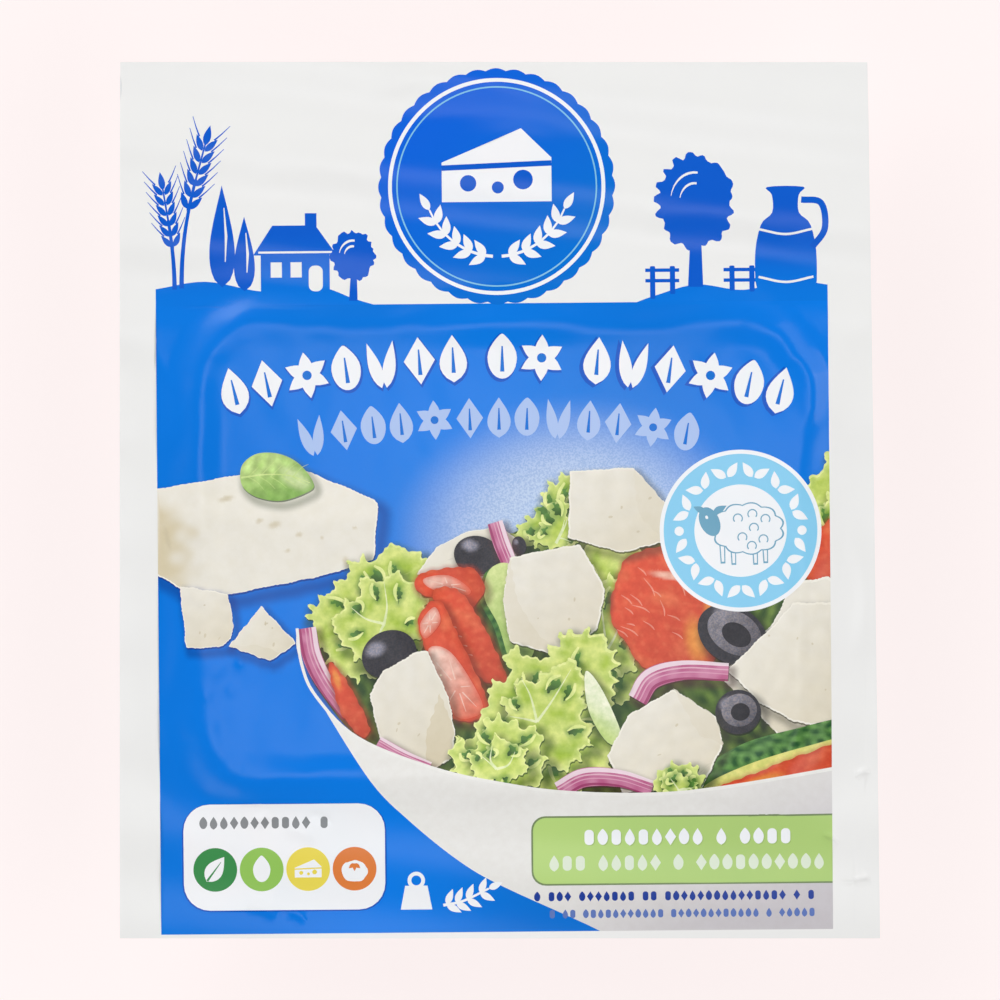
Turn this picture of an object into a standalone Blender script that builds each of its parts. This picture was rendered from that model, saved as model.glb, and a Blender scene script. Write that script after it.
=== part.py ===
"""A sealed retail pack of sheep cheese, lying on its back with the printed side up.

Two films make the pack. The back film is deep-drawn: it has a pocket, which the block of cheese
fills, and a thin flange all round it. The front film is sealed across the flange and is drawn
tight over the block, so it stands a little higher there than along the seal.

The origin is below the centre of the cut outline, on the surface that the pack lies on. +Y points
to the header above the block, and +Z points up, out of the printed side.
"""

import math
from collections import namedtuple

import bmesh
import bpy
from mathutils import Vector

MM = 0.001

# The cut outline: the foot edge is a little wider than the header edge
LENGTH = 150.1 * MM
FOOT_WIDTH = 130.2 * MM
HEAD_WIDTH = 128.1 * MM

# The block of cheese, seen from above, and the pocket drawn round it
BLOCK_WIDTH = 102.0 * MM
BLOCK_LENGTH = 76.0 * MM
BLOCK_CENTRE = Vector((0.3 * MM, -8.8 * MM))
CORNER_RADIUS = 10.0 * MM
POCKET_DEPTH = 25.0 * MM
WALL_DRAFT = math.radians(4.0)
FLOOR_RADIUS = 4.5 * MM
MOUTH_RADIUS = 1.5 * MM
PLEAT_HEIGHT = 0.35 * MM

# The films and the clearance kept between them
FLANGE_THICKNESS = 0.5 * MM
FRONT_THICKNESS = 0.3 * MM
CLEARANCE = 0.3 * MM
SEAL_HEIGHT = POCKET_DEPTH + FLANGE_THICKNESS + CLEARANCE + FRONT_THICKNESS

# The relief of the front film
BLOCK_RISE = 1.2 * MM
SHOULDER_WIDTH = 6.5 * MM
WAVE_HEIGHT = 0.35 * MM
WAVE_LENGTH = 17.0 * MM
WAVE_SKEW = 0.12
EDGE_DROOP = 1.4 * MM
DROOP_REACH = 46.0 * MM

# How finely the lofts are divided
HALF_CORNER_STEPS = 4
LONG_SIDE_STEPS = 8
SHORT_SIDE_STEPS = 6
SHOULDER_STEPS = 3
FLANGE_STEPS = 7
WALL_STEPS = 3
ROUNDING_STEPS = 4


# A place round the block: a point of its core rectangle, a direction outwards, and how far the
# pocket's wall stands out there in a pleat
Station = namedtuple("Station", "base direction pleat")


def smooth_step(value):
    """Ease from 0 to 1 as value goes from 0 to 1."""
    value = min(max(value, 0.0), 1.0)
    return value * value * (3.0 - 2.0 * value)


def distance_from_block(point):
    """Distance from the block's rounded outline, negative above the block."""
    side = Vector((abs(point.x - BLOCK_CENTRE.x), abs(point.y - BLOCK_CENTRE.y)))
    beyond = side - Vector((BLOCK_WIDTH / 2 - CORNER_RADIUS, BLOCK_LENGTH / 2 - CORNER_RADIUS))
    outside = Vector((max(beyond.x, 0.0), max(beyond.y, 0.0))).length
    return outside + min(max(beyond.x, beyond.y), 0.0) - CORNER_RADIUS


def block_rise(point):
    """How far the block holds the front film above the seal."""
    return BLOCK_RISE * (1.0 - smooth_step(distance_from_block(point) / SHOULDER_WIDTH))


def front_height(point):
    """Height of the front film's printed face above the surface that the pack lies on."""
    beyond = distance_from_block(point)
    loose = smooth_step(beyond / (2 * SHOULDER_WIDTH))
    phase = math.tau * (point.y + WAVE_SKEW * point.x) / WAVE_LENGTH
    wave = WAVE_HEIGHT * math.sin(phase)
    droop = EDGE_DROOP * (beyond / DROOP_REACH) ** 2
    return SEAL_HEIGHT + block_rise(point) + loose * (wave - droop)


def flange_height(point):
    """Height of the flange's underside, which has the front film's waves but not its rise."""
    films = FRONT_THICKNESS + CLEARANCE + FLANGE_THICKNESS
    return front_height(point) - block_rise(point) - films


def outline_corners():
    """Corners of the cut outline, anticlockwise from the foot's left end."""
    left = -FOOT_WIDTH / 2
    foot = -LENGTH / 2
    return [
        Vector((left, foot)),
        Vector((left + FOOT_WIDTH, foot)),
        Vector((left + HEAD_WIDTH, foot + LENGTH)),
        Vector((left, foot + LENGTH)),
    ]


def reach_to_outline(base, direction):
    """Distance from a point inside the cut outline to the outline, along a direction."""
    corners = outline_corners()
    reaches = []
    for start, end in zip(corners, corners[1:] + corners[:1]):
        along = end - start
        outward = Vector((along.y, -along.x))
        if outward.dot(direction) > 1e-9:
            reaches.append(outward.dot(start - base) / outward.dot(direction))
    return min(reaches)


def direction_at(angle):
    """Unit vector at an angle from +X."""
    return Vector((math.cos(angle), math.sin(angle)))


def make_stations():
    """Places round the block, anticlockwise from its lower left corner.

    The point at the corner radius from a station's base lies on the block's outline. One
    direction at each corner leads to a corner of the cut outline, so that this stays sharp.
    """
    core = Vector((BLOCK_WIDTH / 2 - CORNER_RADIUS, BLOCK_LENGTH / 2 - CORNER_RADIUS))
    signs = ((-1, -1), (1, -1), (1, 1), (-1, 1))
    centres = [BLOCK_CENTRE + Vector((core.x * x, core.y * y)) for x, y in signs]
    stations = []
    for turn, centre in enumerate(centres):
        first = math.pi + turn * math.pi / 2
        last = first + math.pi / 2
        to_corner = outline_corners()[turn] - centre
        middle = first + (math.atan2(to_corner.y, to_corner.x) - first) % math.tau
        for start, end in ((first, middle), (middle, last)):
            for step in range(HALF_CORNER_STEPS):
                angle = start + (end - start) * step / HALF_CORNER_STEPS
                pleat = PLEAT_HEIGHT if step % 2 else -PLEAT_HEIGHT
                stations.append(Station(centre, direction_at(angle), pleat))
        following = centres[(turn + 1) % 4]
        side_steps = LONG_SIDE_STEPS if turn % 2 == 0 else SHORT_SIDE_STEPS
        for step in range(side_steps):
            base = centre.lerp(following, step / side_steps)
            stations.append(Station(base, direction_at(last), 0.0))
    return stations


def sheet_rings(stations):
    """Plan rings of a film, from the block's outline to the cut outline."""
    rings = []
    for step in range(SHOULDER_STEPS):
        offset = CORNER_RADIUS + SHOULDER_WIDTH * step / SHOULDER_STEPS
        rings.append([place.base + place.direction * offset for place in stations])
    shoulder = CORNER_RADIUS + SHOULDER_WIDTH
    for step in range(FLANGE_STEPS + 1):
        ring = []
        for place in stations:
            edge = reach_to_outline(place.base, place.direction)
            offset = shoulder + (edge - shoulder) * step / FLANGE_STEPS
            ring.append(place.base + place.direction * offset)
        rings.append(ring)
    return rings


def pocket_profile():
    """Distance inwards from the block's outline, and height, down the outside of the pocket."""
    mouth_turn = math.pi / 2 - WALL_DRAFT
    profile = []
    for step in range(ROUNDING_STEPS + 1):
        turn = mouth_turn * step / ROUNDING_STEPS
        inwards = MOUTH_RADIUS * (math.sin(turn) - 1.0)
        profile.append((inwards, POCKET_DEPTH - MOUTH_RADIUS * (1.0 - math.cos(turn))))
    wall_top = profile[-1]
    floor_turn = math.pi / 2 - WALL_DRAFT
    wall_foot_height = FLOOR_RADIUS * (1.0 - math.sin(WALL_DRAFT))
    wall_run = (wall_top[1] - wall_foot_height) * math.tan(WALL_DRAFT)
    for step in range(1, WALL_STEPS):
        share = step / WALL_STEPS
        height = wall_top[1] + (wall_foot_height - wall_top[1]) * share
        profile.append((wall_top[0] + wall_run * share, height))
    for step in range(ROUNDING_STEPS + 1):
        turn = WALL_DRAFT + floor_turn * step / ROUNDING_STEPS
        inwards = wall_top[0] + wall_run + FLOOR_RADIUS * (math.cos(WALL_DRAFT) - math.cos(turn))
        profile.append((inwards, FLOOR_RADIUS * (1.0 - math.sin(turn))))
    return profile


def add_ring(bm, points):
    """Add a ring of vertices."""
    return [bm.verts.new(point) for point in points]


def bridge_rings(bm, lower, upper):
    """Close the band between two rings of equal count."""
    for index, corner in enumerate(lower):
        after = (index + 1) % len(lower)
        bm.faces.new((corner, lower[after], upper[after], upper[index]))


def make_material(name, colour, roughness):
    """A plain plastic-film material."""
    material = bpy.data.materials.new(name)
    material.use_nodes = True
    shader = material.node_tree.nodes["Principled BSDF"]
    shader.inputs["Base Color"].default_value = (*colour, 1.0)
    shader.inputs["Roughness"].default_value = roughness
    shader.inputs["Metallic"].default_value = 0.0
    material.diffuse_color = (*colour, 1.0)
    return material


def make_object(name, bm, material, collection):
    """Turn a bmesh into a smooth-shaded object."""
    bmesh.ops.recalc_face_normals(bm, faces=bm.faces)
    mesh = bpy.data.meshes.new(name)
    bm.to_mesh(mesh)
    bm.free()
    mesh.shade_smooth()
    mesh.set_sharp_from_angle(angle=math.radians(30.0))
    mesh.materials.append(material)
    part = bpy.data.objects.new(name, mesh)
    collection.objects.link(part)
    return part


def make_filled_pocket(stations, collection):
    """The back film with the block inside it: floor, pleated wall, flange and covered top."""
    bm = bmesh.new()
    lowered = FRONT_THICKNESS + CLEARANCE
    plan = sheet_rings(stations)
    top_rings = []
    under_rings = []
    for ring in plan:
        top_rings.append(add_ring(bm, [(*p, front_height(p) - lowered) for p in ring]))
    for ring in plan[1:]:
        under_rings.append(add_ring(bm, [(*p, flange_height(p)) for p in ring]))
    wall_rings = []
    for inwards, height in pocket_profile():
        fullness = math.sin(math.pi * height / POCKET_DEPTH)
        ring = []
        for place in stations:
            offset = CORNER_RADIUS - inwards + place.pleat * fullness
            ring.append((*(place.base + place.direction * offset), height))
        wall_rings.append(add_ring(bm, ring))
    bm.faces.new(top_rings[0])
    for inner, outer in zip(top_rings, top_rings[1:]):
        bridge_rings(bm, inner, outer)
    bridge_rings(bm, top_rings[-1], under_rings[-1])
    for inner, outer in zip(under_rings, under_rings[1:]):
        bridge_rings(bm, inner, outer)
    bridge_rings(bm, wall_rings[0], under_rings[0])
    for upper, lower in zip(wall_rings, wall_rings[1:]):
        bridge_rings(bm, upper, lower)
    bm.faces.new(wall_rings[-1])
    white_film = make_material("white back film", (0.82, 0.82, 0.80), 0.28)
    return make_object("filled_pocket", bm, white_film, collection)


def make_front_film(stations, collection):
    """The printed front film, one sheet with its thickness below the printed face."""
    bm = bmesh.new()
    rings = [add_ring(bm, [(*p, front_height(p)) for p in ring]) for ring in sheet_rings(stations)]
    bm.faces.new(rings[0])
    for inner, outer in zip(rings, rings[1:]):
        bridge_rings(bm, inner, outer)
    blue_print = make_material("printed front film", (0.02, 0.21, 0.76), 0.22)
    film = make_object("front_film", bm, blue_print, collection)
    thickness = film.modifiers.new("thickness", "SOLIDIFY")
    thickness.thickness = FRONT_THICKNESS
    thickness.offset = -1.0
    return film


def main():
    """Clear the scene and build the pack."""
    for old in list(bpy.data.objects):
        bpy.data.objects.remove(old, do_unlink=True)
    collection = bpy.data.collections.new("Sheep cheese pack")
    bpy.context.scene.collection.children.link(collection)
    stations = make_stations()
    make_filled_pocket(stations, collection)
    make_front_film(stations, collection)


main()
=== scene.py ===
"""Looks of a sealed pack of sheep cheese: its printed front film, its drawn back film, its studio."""

import math

import bmesh
import bpy
import numpy as np
from bpy.props import (
    FloatProperty, FloatVectorProperty, IntProperty, PointerProperty,
)
from mathutils import Matrix, Vector
from mathutils.geometry import delaunay_2d_cdt


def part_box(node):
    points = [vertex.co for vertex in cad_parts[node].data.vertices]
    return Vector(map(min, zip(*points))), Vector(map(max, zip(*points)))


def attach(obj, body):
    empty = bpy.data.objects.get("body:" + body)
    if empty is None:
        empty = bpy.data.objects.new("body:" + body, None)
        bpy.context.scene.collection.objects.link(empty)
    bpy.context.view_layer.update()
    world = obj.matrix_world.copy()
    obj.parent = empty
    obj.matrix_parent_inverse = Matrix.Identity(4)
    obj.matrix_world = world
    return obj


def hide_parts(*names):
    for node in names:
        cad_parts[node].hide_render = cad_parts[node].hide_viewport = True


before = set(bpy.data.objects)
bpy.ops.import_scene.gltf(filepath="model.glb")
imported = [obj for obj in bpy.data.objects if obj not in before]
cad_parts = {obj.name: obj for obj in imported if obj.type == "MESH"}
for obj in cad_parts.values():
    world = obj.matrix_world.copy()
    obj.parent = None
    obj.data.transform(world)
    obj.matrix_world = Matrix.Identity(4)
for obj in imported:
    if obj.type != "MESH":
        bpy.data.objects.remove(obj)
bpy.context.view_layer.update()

bl_info = {
    "name": "Sheep Cheese Pack",
    "version": (1, 0, 0),
    "blender": (4, 5, 0),
    "location": "3D View > Sidebar > Cheese Pack",
    "description": "Dresses the solids of a sealed cheese pack with its films and print",
    "category": "Object",
}

MM = 0.001
BODY = "root"
LOW, HIGH = (Vector(corner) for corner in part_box("front_film"))
FLOOR_OF_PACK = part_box("filled_pocket")[0].z


def srgb(red, green, blue):
    """Scene-linear colour of a colour that a screen shows as 0 to 255."""
    return tuple((v / 255 / 12.92) if v < 10.4 else ((v / 255 + 0.055) / 1.055) ** 2.4
                 for v in (red, green, blue))


def colour_property(name, description, *shown):
    """A colour that the user may change, given as a screen shows it."""
    return FloatVectorProperty(name=name, description=description, subtype="COLOR", size=3,
                               min=0.0, max=1.0, default=srgb(*shown))


def length_property(name, description, millimetres):
    """A length that the user may change."""
    return FloatProperty(name=name, description=description, unit="LENGTH", precision=5,
                         default=millimetres * MM)


class FilmSizes(bpy.types.PropertyGroup):
    """Form of the two films, close to that of the solids, and of their creases."""

    head_width: length_property("Header width", "Width of the cut outline at the header", 128.1)
    block_width: length_property("Block width", "Width of the block of cheese", 102.0)
    block_length: length_property("Block length", "Length of the block of cheese", 76.0)
    block_x: length_property("Block X", "Place of the block across the pack", 0.3)
    block_y: length_property("Block Y", "Place of the block along the pack", -8.8)
    corner_radius: length_property("Corner radius", "Radius of the block's upright edges", 10.0)
    block_rise: length_property("Block rise", "How far the block lifts the front film", 0.95)
    shoulder: length_property("Shoulder", "Width of the slope round the block", 8.0)
    wave_height: length_property("Wave height", "Height of the waves in the loose film", 0.35)
    wave_length: length_property("Wave length", "Spacing of the waves", 17.0)
    wave_skew: FloatProperty(name="Wave skew", description="Slant of the waves", default=0.12)
    slump: length_property("Slump", "How far the film falls off right round the block", 0.7)
    slump_reach: length_property("Slump reach", "Distance over which the film slumps", 13.0)
    droop: length_property("Droop", "How far the loose film hangs at the header edge", 1.8)
    droop_reach: length_property("Droop reach", "Distance over which the film droops", 46.0)
    mesh_step: length_property("Mesh step", "Spacing of the front film's inner points", 1.0)
    picture_step: length_property("Picture step", "Spacing of the points under the picture", 0.5)
    film: length_property("Film", "Thickness of the front film's edge", 0.3)
    seal_gap: length_property("Seal gap", "Gap that the solids keep between the films", 0.3)
    dimple: length_property("Dimple", "Height of the block's unevenness in the film", 0.022)


class PrintColours(bpy.types.PropertyGroup):
    """Inks of the front film's print."""

    turn: FloatProperty(name="Print turn", subtype="ANGLE", default=math.radians(0.5),
                        description="How far the print is turned against the cut outline")
    bare: colour_property("Bare film", "White film without ink", 240, 240, 238)
    blue: colour_property("Blue", "Main blue field", 0, 114, 213)
    deep_blue: colour_property("Deep blue", "Figures, emblem and small marks", 6, 92, 206)
    white: colour_property("White ink", "White marks on the blue", 246, 246, 248)
    pale_blue: colour_property("Pale blue", "Second row of ornaments", 176, 198, 240)
    sky: colour_property("Sky blue", "Ring of the round mark", 140, 208, 241)
    halo: colour_property("Halo", "Glow behind the bowl", 208, 214, 232)
    label: colour_property("Label green", "Green label", 181, 211, 124)
    cheese: colour_property("Cheese", "Lit face of the cheese", 236, 232, 221)
    cheese_shade: colour_property("Cheese shade", "Shaded face of the cheese", 216, 204, 174)
    leaf: colour_property("Leaf", "Lit lettuce", 216, 226, 112)
    leaf_dark: colour_property("Dark leaf", "Shaded lettuce", 74, 112, 52)
    tomato: colour_property("Tomato", "Tomato flesh", 218, 82, 54)
    tomato_pale: colour_property("Pale tomato", "Lit tomato", 238, 170, 152)
    olive: colour_property("Olive", "Black olive", 58, 56, 60)
    onion: colour_property("Onion", "Red onion skin", 190, 98, 140)
    bowl: colour_property("Bowl", "Lit wall of the bowl", 234, 233, 229)
    bowl_shade: colour_property("Bowl shade", "Shaded wall of the bowl", 202, 198, 202)


class BackLook(bpy.types.PropertyGroup):
    """Form and colour of the drawn back film."""

    pocket_depth: length_property("Pocket depth", "Depth of the drawn pocket", 25.0)
    draft: FloatProperty(name="Draft", description="Slope of the pocket's walls",
                         subtype="ANGLE", default=math.radians(4.0))
    floor_radius: length_property("Floor radius", "Rounding round the pocket's floor", 4.5)
    mouth_radius: length_property("Mouth radius", "Rounding round the pocket's mouth", 1.5)
    pleat_height: length_property("Pleat height", "Height of the pleats at the corners", 0.55)
    pleat_count: IntProperty(name="Pleats", description="Pleats at each corner", default=5)
    pucker: length_property("Pucker", "Height of the fine puckers in the walls", 0.12)
    seed: IntProperty(name="Seed", description="Seed of the puckers", default=4)
    colour: colour_property("Back film", "Opaque white back film", 228, 229, 229)


class StageLook(bpy.types.PropertyGroup):
    """Floor, lights and camera."""

    floor: colour_property("Floor", "Pale floor", 255, 245, 244)
    camera_height: FloatProperty(name="Camera height", description="Height of the camera",
                                 unit="LENGTH", default=1.6)
    view_width: length_property("View width", "Width of the view at the print's height", 171.0)


def look(context):
    """The settings that belong to the current scene."""
    return context.scene.cheese_pack


class PackSettings(bpy.types.PropertyGroup):
    """All settings of the pack."""

    film: PointerProperty(type=FilmSizes)
    ink: PointerProperty(type=PrintColours)
    back: PointerProperty(type=BackLook)
    stage: PointerProperty(type=StageLook)


# Numbers that follow a rule: steps, noise and heights


def ease(value):
    """Ease from 0 to 1 as value goes from 0 to 1."""
    value = np.clip(value, 0.0, 1.0)
    return value * value * (3.0 - 2.0 * value)


def ripple(x, y, size, seed, count=7):
    """Soft unevenness between about -1 and 1 with features of a size."""
    draw = np.random.default_rng(seed)
    total = np.zeros_like(x)
    for _ in range(count):
        angle = draw.uniform(0.0, math.tau)
        pitch = math.tau / (size * draw.uniform(0.7, 1.5))
        phase = draw.uniform(0.0, math.tau)
        total += np.sin(pitch * (x * math.cos(angle) + y * math.sin(angle)) + phase)
    return total / math.sqrt(count)


def from_block(x, y, film):
    """Distance from the block's rounded outline, negative above the block."""
    beyond_x = abs(x - film.block_x) - film.block_width / 2 + film.corner_radius
    beyond_y = abs(y - film.block_y) - film.block_length / 2 + film.corner_radius
    outside = np.hypot(np.maximum(beyond_x, 0.0), np.maximum(beyond_y, 0.0))
    return outside + np.minimum(np.maximum(beyond_x, beyond_y), 0.0) - film.corner_radius


WAVES_AT_FOOT = 0.4  # share of the waves' height that is left at the foot


def seal_height(x, y, film):
    """Height of the films where they are sealed, without the block's rise."""
    beyond = from_block(x, y, film)
    loose = ease(beyond / (2 * film.shoulder))
    calm = WAVES_AT_FOOT + (1.0 - WAVES_AT_FOOT) * ease((y - film.block_y) / film.droop_reach)
    wave = film.wave_height * calm * np.sin(math.tau * (y + film.wave_skew * x) / film.wave_length)
    droop = film.droop * (beyond / film.droop_reach) ** 2
    slump = film.slump * ease(beyond / film.slump_reach)
    return HIGH.z - film.block_rise + loose * (wave - droop) - slump


# Creases of the front film, in millimetres from the pack's centre: the two ends, the width of
# the fold and its height
CREASES = (
    (50.5, 26.5, 53.2, 12.0, 1.5, 0.26),
    (54.2, 27.5, 55.4, 15.0, 1.1, -0.14),
    (47.0, 30.5, 49.5, 22.0, 1.8, 0.16),
    (60.6, -47.4, 63.6, -46.4, 0.6, 0.40),
    (60.4, -65.4, 63.6, -64.6, 0.6, 0.34),
    (55.0, -57.2, 58.2, -58.9, 0.6, 0.36),
    (-42.5, -55.5, -39.0, -54.0, 0.9, 0.18),
    (-37.0, -56.5, -31.5, -58.6, 1.0, 0.16),
    (-33.0, -54.0, -28.5, -55.4, 0.8, -0.14),
    (-43.5, -69.4, -38.0, -71.4, 1.0, 0.18),
    (-36.5, -70.4, -33.0, -72.2, 0.8, 0.14),
    (-24.0, 68.5, 4.0, 70.5, 1.8, 0.10),
    (-16.0, 60.0, 14.0, 61.5, 2.2, 0.10),
    (-48.0, 52.0, -20.0, 55.5, 2.4, 0.08),
    (22.0, 47.0, 52.0, 44.0, 2.4, 0.09),
    (-60.5, 28.0, -57.5, 6.0, 1.6, 0.14),
    (-59.5, -8.0, -58.0, -38.0, 1.8, 0.12),
    (58.5, -2.0, 59.8, -30.0, 1.6, 0.12),
    (-20.0, 29.8, 16.0, 30.6, 1.6, 0.12),
    (20.0, -52.4, 46.0, -53.6, 1.5, 0.12),
    (-12.0, -53.2, 12.0, -52.4, 1.5, 0.10),
)
FOLD_BEND = 0.12  # how far a fold bends off its straight line, as a share of its length
WIDEST_TRACED_FOLD = 1.6  # the mesh has lines along folds narrower than this, in millimetres
CORNER_FANS = 3
FAN_LENGTH = 11.0 * MM
FAN_SPREAD = math.radians(64.0)
FAN_HEIGHT = 0.04 * MM
# Small bubbles over the block's left edge, as (x, y, radius) in millimetres
BUBBLES = ((-48.5, -29.0, 1.6), (-46.0, -32.5, 1.1), (-50.5, -33.5, 0.9), (-44.5, -28.0, 0.8))
BUBBLE_HEIGHT = 0.07 * MM
EDGE_WANDER = 0.9 * MM  # how far the slope round the block wanders in and out
BLOCK_SAG = 0.26 * MM  # how far the film sags over the block
# The ripples on the slope: their middle off the block's outline, their reach and their height
SLOPE_MIDDLE, SLOPE_REACH, SLOPE_RIPPLE = 2.0 * MM, 3.6 * MM, 0.025 * MM


def fold(x, y, start, end, width, height):
    """Height of one fold between two points, which fades at both ends."""
    along = np.array(end) - np.array(start)
    length = math.hypot(*along)
    share = ((x - start[0]) * along[0] + (y - start[1]) * along[1]) / length**2
    off = ((x - start[0]) * along[1] - (y - start[1]) * along[0]) / length
    off = off + FOLD_BEND * length * np.sin(math.pi * np.clip(share, 0.0, 1.0))
    fade = ease(share * 4.0) * ease((1.0 - share) * 4.0)
    return height * fade * np.exp(-((off / width) ** 2))


def corner_fans(film):
    """Folds that fan out from the block's corners, as (start, end, width, height)."""
    draw = np.random.default_rng(11)
    half = (film.block_width / 2 - film.corner_radius, film.block_length / 2 - film.corner_radius)
    for turn, (side_x, side_y) in enumerate(((1, 1), (-1, 1), (-1, -1), (1, -1))):
        centre = np.array((film.block_x + side_x * half[0], film.block_y + side_y * half[1]))
        for step in range(CORNER_FANS):
            share = step / (CORNER_FANS - 1) - 0.5 + draw.uniform(-0.15, 0.15)
            angle = math.pi / 4 + turn * math.pi / 2 + share * FAN_SPREAD
            out = np.array((math.cos(angle), math.sin(angle)))
            start = centre + out * (film.corner_radius - draw.uniform(2.0, 4.0) * MM)
            length = FAN_LENGTH * draw.uniform(0.6, 1.1)
            yield start, start + out * length, draw.uniform(1.0, 1.6) * MM, FAN_HEIGHT


def front_height(x, y, film):
    """Height of the printed face, with its creases."""
    beyond = from_block(x, y, film)
    height = seal_height(x, y, film)
    wander = EDGE_WANDER * (ripple(x, y, 26.0 * MM, 17) - 0.6)
    height = height + film.block_rise * (1.0 - ease((beyond - wander) / film.shoulder))
    on_block = 1.0 - ease((beyond + 4.0 * MM) / (6.0 * MM))
    for depth, share, size, seed in ((film.dimple, 1.0, 9.0, 3), (0.08 * film.dimple, 1.0, 2.6, 8),
                                     (BLOCK_SAG, 0.9, 44.0, 21)):
        height = height - depth * on_block * (1.0 + share * ripple(x, y, size * MM, seed))
    slope = np.exp(-(((beyond - SLOPE_MIDDLE) / SLOPE_REACH) ** 2))
    height = height + SLOPE_RIPPLE * slope * ripple(x, y, 8.0 * MM, 5)
    for x0, y0, x1, y1, width, rise in CREASES:
        height = height + fold(x, y, (x0 * MM, y0 * MM), (x1 * MM, y1 * MM), width * MM, rise * MM)
    for start, end, width, rise in corner_fans(film):
        height = height + fold(x, y, start, end, width, rise)
    for bx, by, size in BUBBLES:
        away = ((x - bx * MM) ** 2 + (y - by * MM) ** 2) / (size * MM) ** 2
        height = height + BUBBLE_HEIGHT * np.exp(-away)
    return height


def normals_of(height_of, x, y):
    """Unit normals of a height field."""
    step = 0.05 * MM
    slope_x = (height_of(x + step, y) - height_of(x - step, y)) / (2 * step)
    slope_y = (height_of(x, y + step) - height_of(x, y - step)) / (2 * step)
    normals = np.stack((-slope_x, -slope_y, np.ones_like(x)), axis=1)
    return normals / np.linalg.norm(normals, axis=1, keepdims=True)


def cut_outline(film):
    """Corners of the cut outline, anticlockwise from the foot's left end, in metres."""
    head_right = LOW.x + film.head_width
    return np.array(((LOW.x, LOW.y), (HIGH.x, LOW.y), (head_right, HIGH.y), (LOW.x, HIGH.y)))


# Flat shapes of the print, in millimetres on the print: x to the right, y to the header


def oval(x, y, wide, high=None, turn=0.0, steps=40):
    """An ellipse, or a circle where one radius is given."""
    angle = np.linspace(0.0, math.tau, steps, endpoint=False)
    high = wide if high is None else high
    return moved(np.stack((wide * np.cos(angle), high * np.sin(angle)), axis=1), x, y, turn)


def about(centre, points, size):
    """A shape made larger or smaller about a centre."""
    return centre + (points - centre) * size


def moved(points, x, y, turn=0.0, size=1.0):
    """A shape turned by degrees, sized, and put at a place."""
    angle = math.radians(turn)
    spin = np.array(((math.cos(angle), math.sin(angle)), (-math.sin(angle), math.cos(angle))))
    return np.array(points, float) @ spin * size + (x, y)


def panel(x0, y0, x1, y1, radius=0.0, steps=6):
    """A rectangle with rounded corners."""
    if radius == 0.0:
        return np.array(((x0, y0), (x1, y0), (x1, y1), (x0, y1)), float)
    points = []
    centres = ((x1 - radius, y1 - radius), (x0 + radius, y1 - radius),
               (x0 + radius, y0 + radius), (x1 - radius, y0 + radius))
    for quarter, (cx, cy) in enumerate(centres):
        for step in range(steps + 1):
            angle = math.pi / 2 * (quarter + step / steps)
            points.append((cx + radius * math.cos(angle), cy + radius * math.sin(angle)))
    return np.array(points)


def curve(points, steps=6, closed=True):
    """A smooth curve through points."""
    p = np.array(points, float)
    if closed:
        p = np.concatenate((p[-1:], p, p[:2]))
    else:
        p = np.concatenate((2 * p[:1] - p[1:2], p, 2 * p[-1:] - p[-2:-1]))
    out = []
    for a, b, c, d in zip(p, p[1:], p[2:], p[3:]):
        for step in range(steps):
            t = step / steps
            out.append(0.5 * (2 * b + (c - a) * t + (2 * a - 5 * b + 4 * c - d) * t**2
                              + (3 * b - a - 3 * c + d) * t**3))
    if not closed:
        out.append(p[-2])
    return np.array(out)


def band(points, width, end_width=None, middle=1.0):
    """Outline of a stroke along points, from one width to another, fuller in its middle."""
    p = np.array(points, float)
    ahead = np.gradient(p, axis=0)
    ahead /= np.linalg.norm(ahead, axis=1, keepdims=True)
    across = np.stack((-ahead[:, 1], ahead[:, 0]), axis=1)
    share = np.linspace(0.0, 1.0, len(p))
    end_width = width if end_width is None else end_width
    half = (width + (end_width - width) * share) / 2 * (1 + (middle - 1) * np.sin(math.pi * share))
    return np.concatenate((p + across * half[:, None], (p - across * half[:, None])[::-1]))


def uneven(outline, depth, size, seed, spacing=0.5, lobed=False):
    """An outline pushed in and out by about depth, in features of a size, or in round lobes."""
    closed = np.concatenate((outline, outline[:1]))
    run = np.concatenate(((0.0,), np.cumsum(np.linalg.norm(np.diff(closed, axis=0), axis=1))))
    count = max(12, int(run[-1] / spacing))
    at = np.linspace(0.0, run[-1], count, endpoint=False)
    p = np.stack((np.interp(at, run, closed[:, 0]), np.interp(at, run, closed[:, 1])), axis=1)
    ahead = np.roll(p, -1, axis=0) - np.roll(p, 1, axis=0)
    ahead /= np.maximum(np.linalg.norm(ahead, axis=1, keepdims=True), 1e-6)
    draw = np.random.default_rng(seed)
    push = np.zeros(count)
    for _ in range(9):
        waves = max(1, round(run[-1] / size * draw.uniform(0.4, 1.8)))
        phase = draw.uniform(0.0, math.tau)
        push += draw.uniform(0.2, 0.8) * np.sin(math.tau * waves * at / run[-1] + phase)
    push = 1.6 * abs(push) - 0.8 if lobed else push
    push = depth * np.clip(push, -1.2, 1.2)
    return p + np.stack((ahead[:, 1], -ahead[:, 0]), axis=1) * push[:, None]


def leaf_shape(length, width, steps=10, tip=0.75):
    """A pointed leaf that starts at the origin and points up."""
    share = np.linspace(0.0, 1.0, steps + 1)
    half = width / 2 * np.sin(math.pi * share**tip)
    right = np.stack((half, share * length), axis=1)
    left = np.stack((-half, share * length), axis=1)[::-1]
    return np.concatenate((right, left[1:-1]))


# Colours that vary over a shape


def mixed(first, second, share):
    """Colours between two, as rows."""
    share = np.asarray(share)[..., None]
    return np.array(first) * (1 - share) + np.array(second) * share


def tinted(colour, factor):
    """A colour made lighter or darker."""
    return tuple(min(1.0, c * factor) for c in colour)


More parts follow.
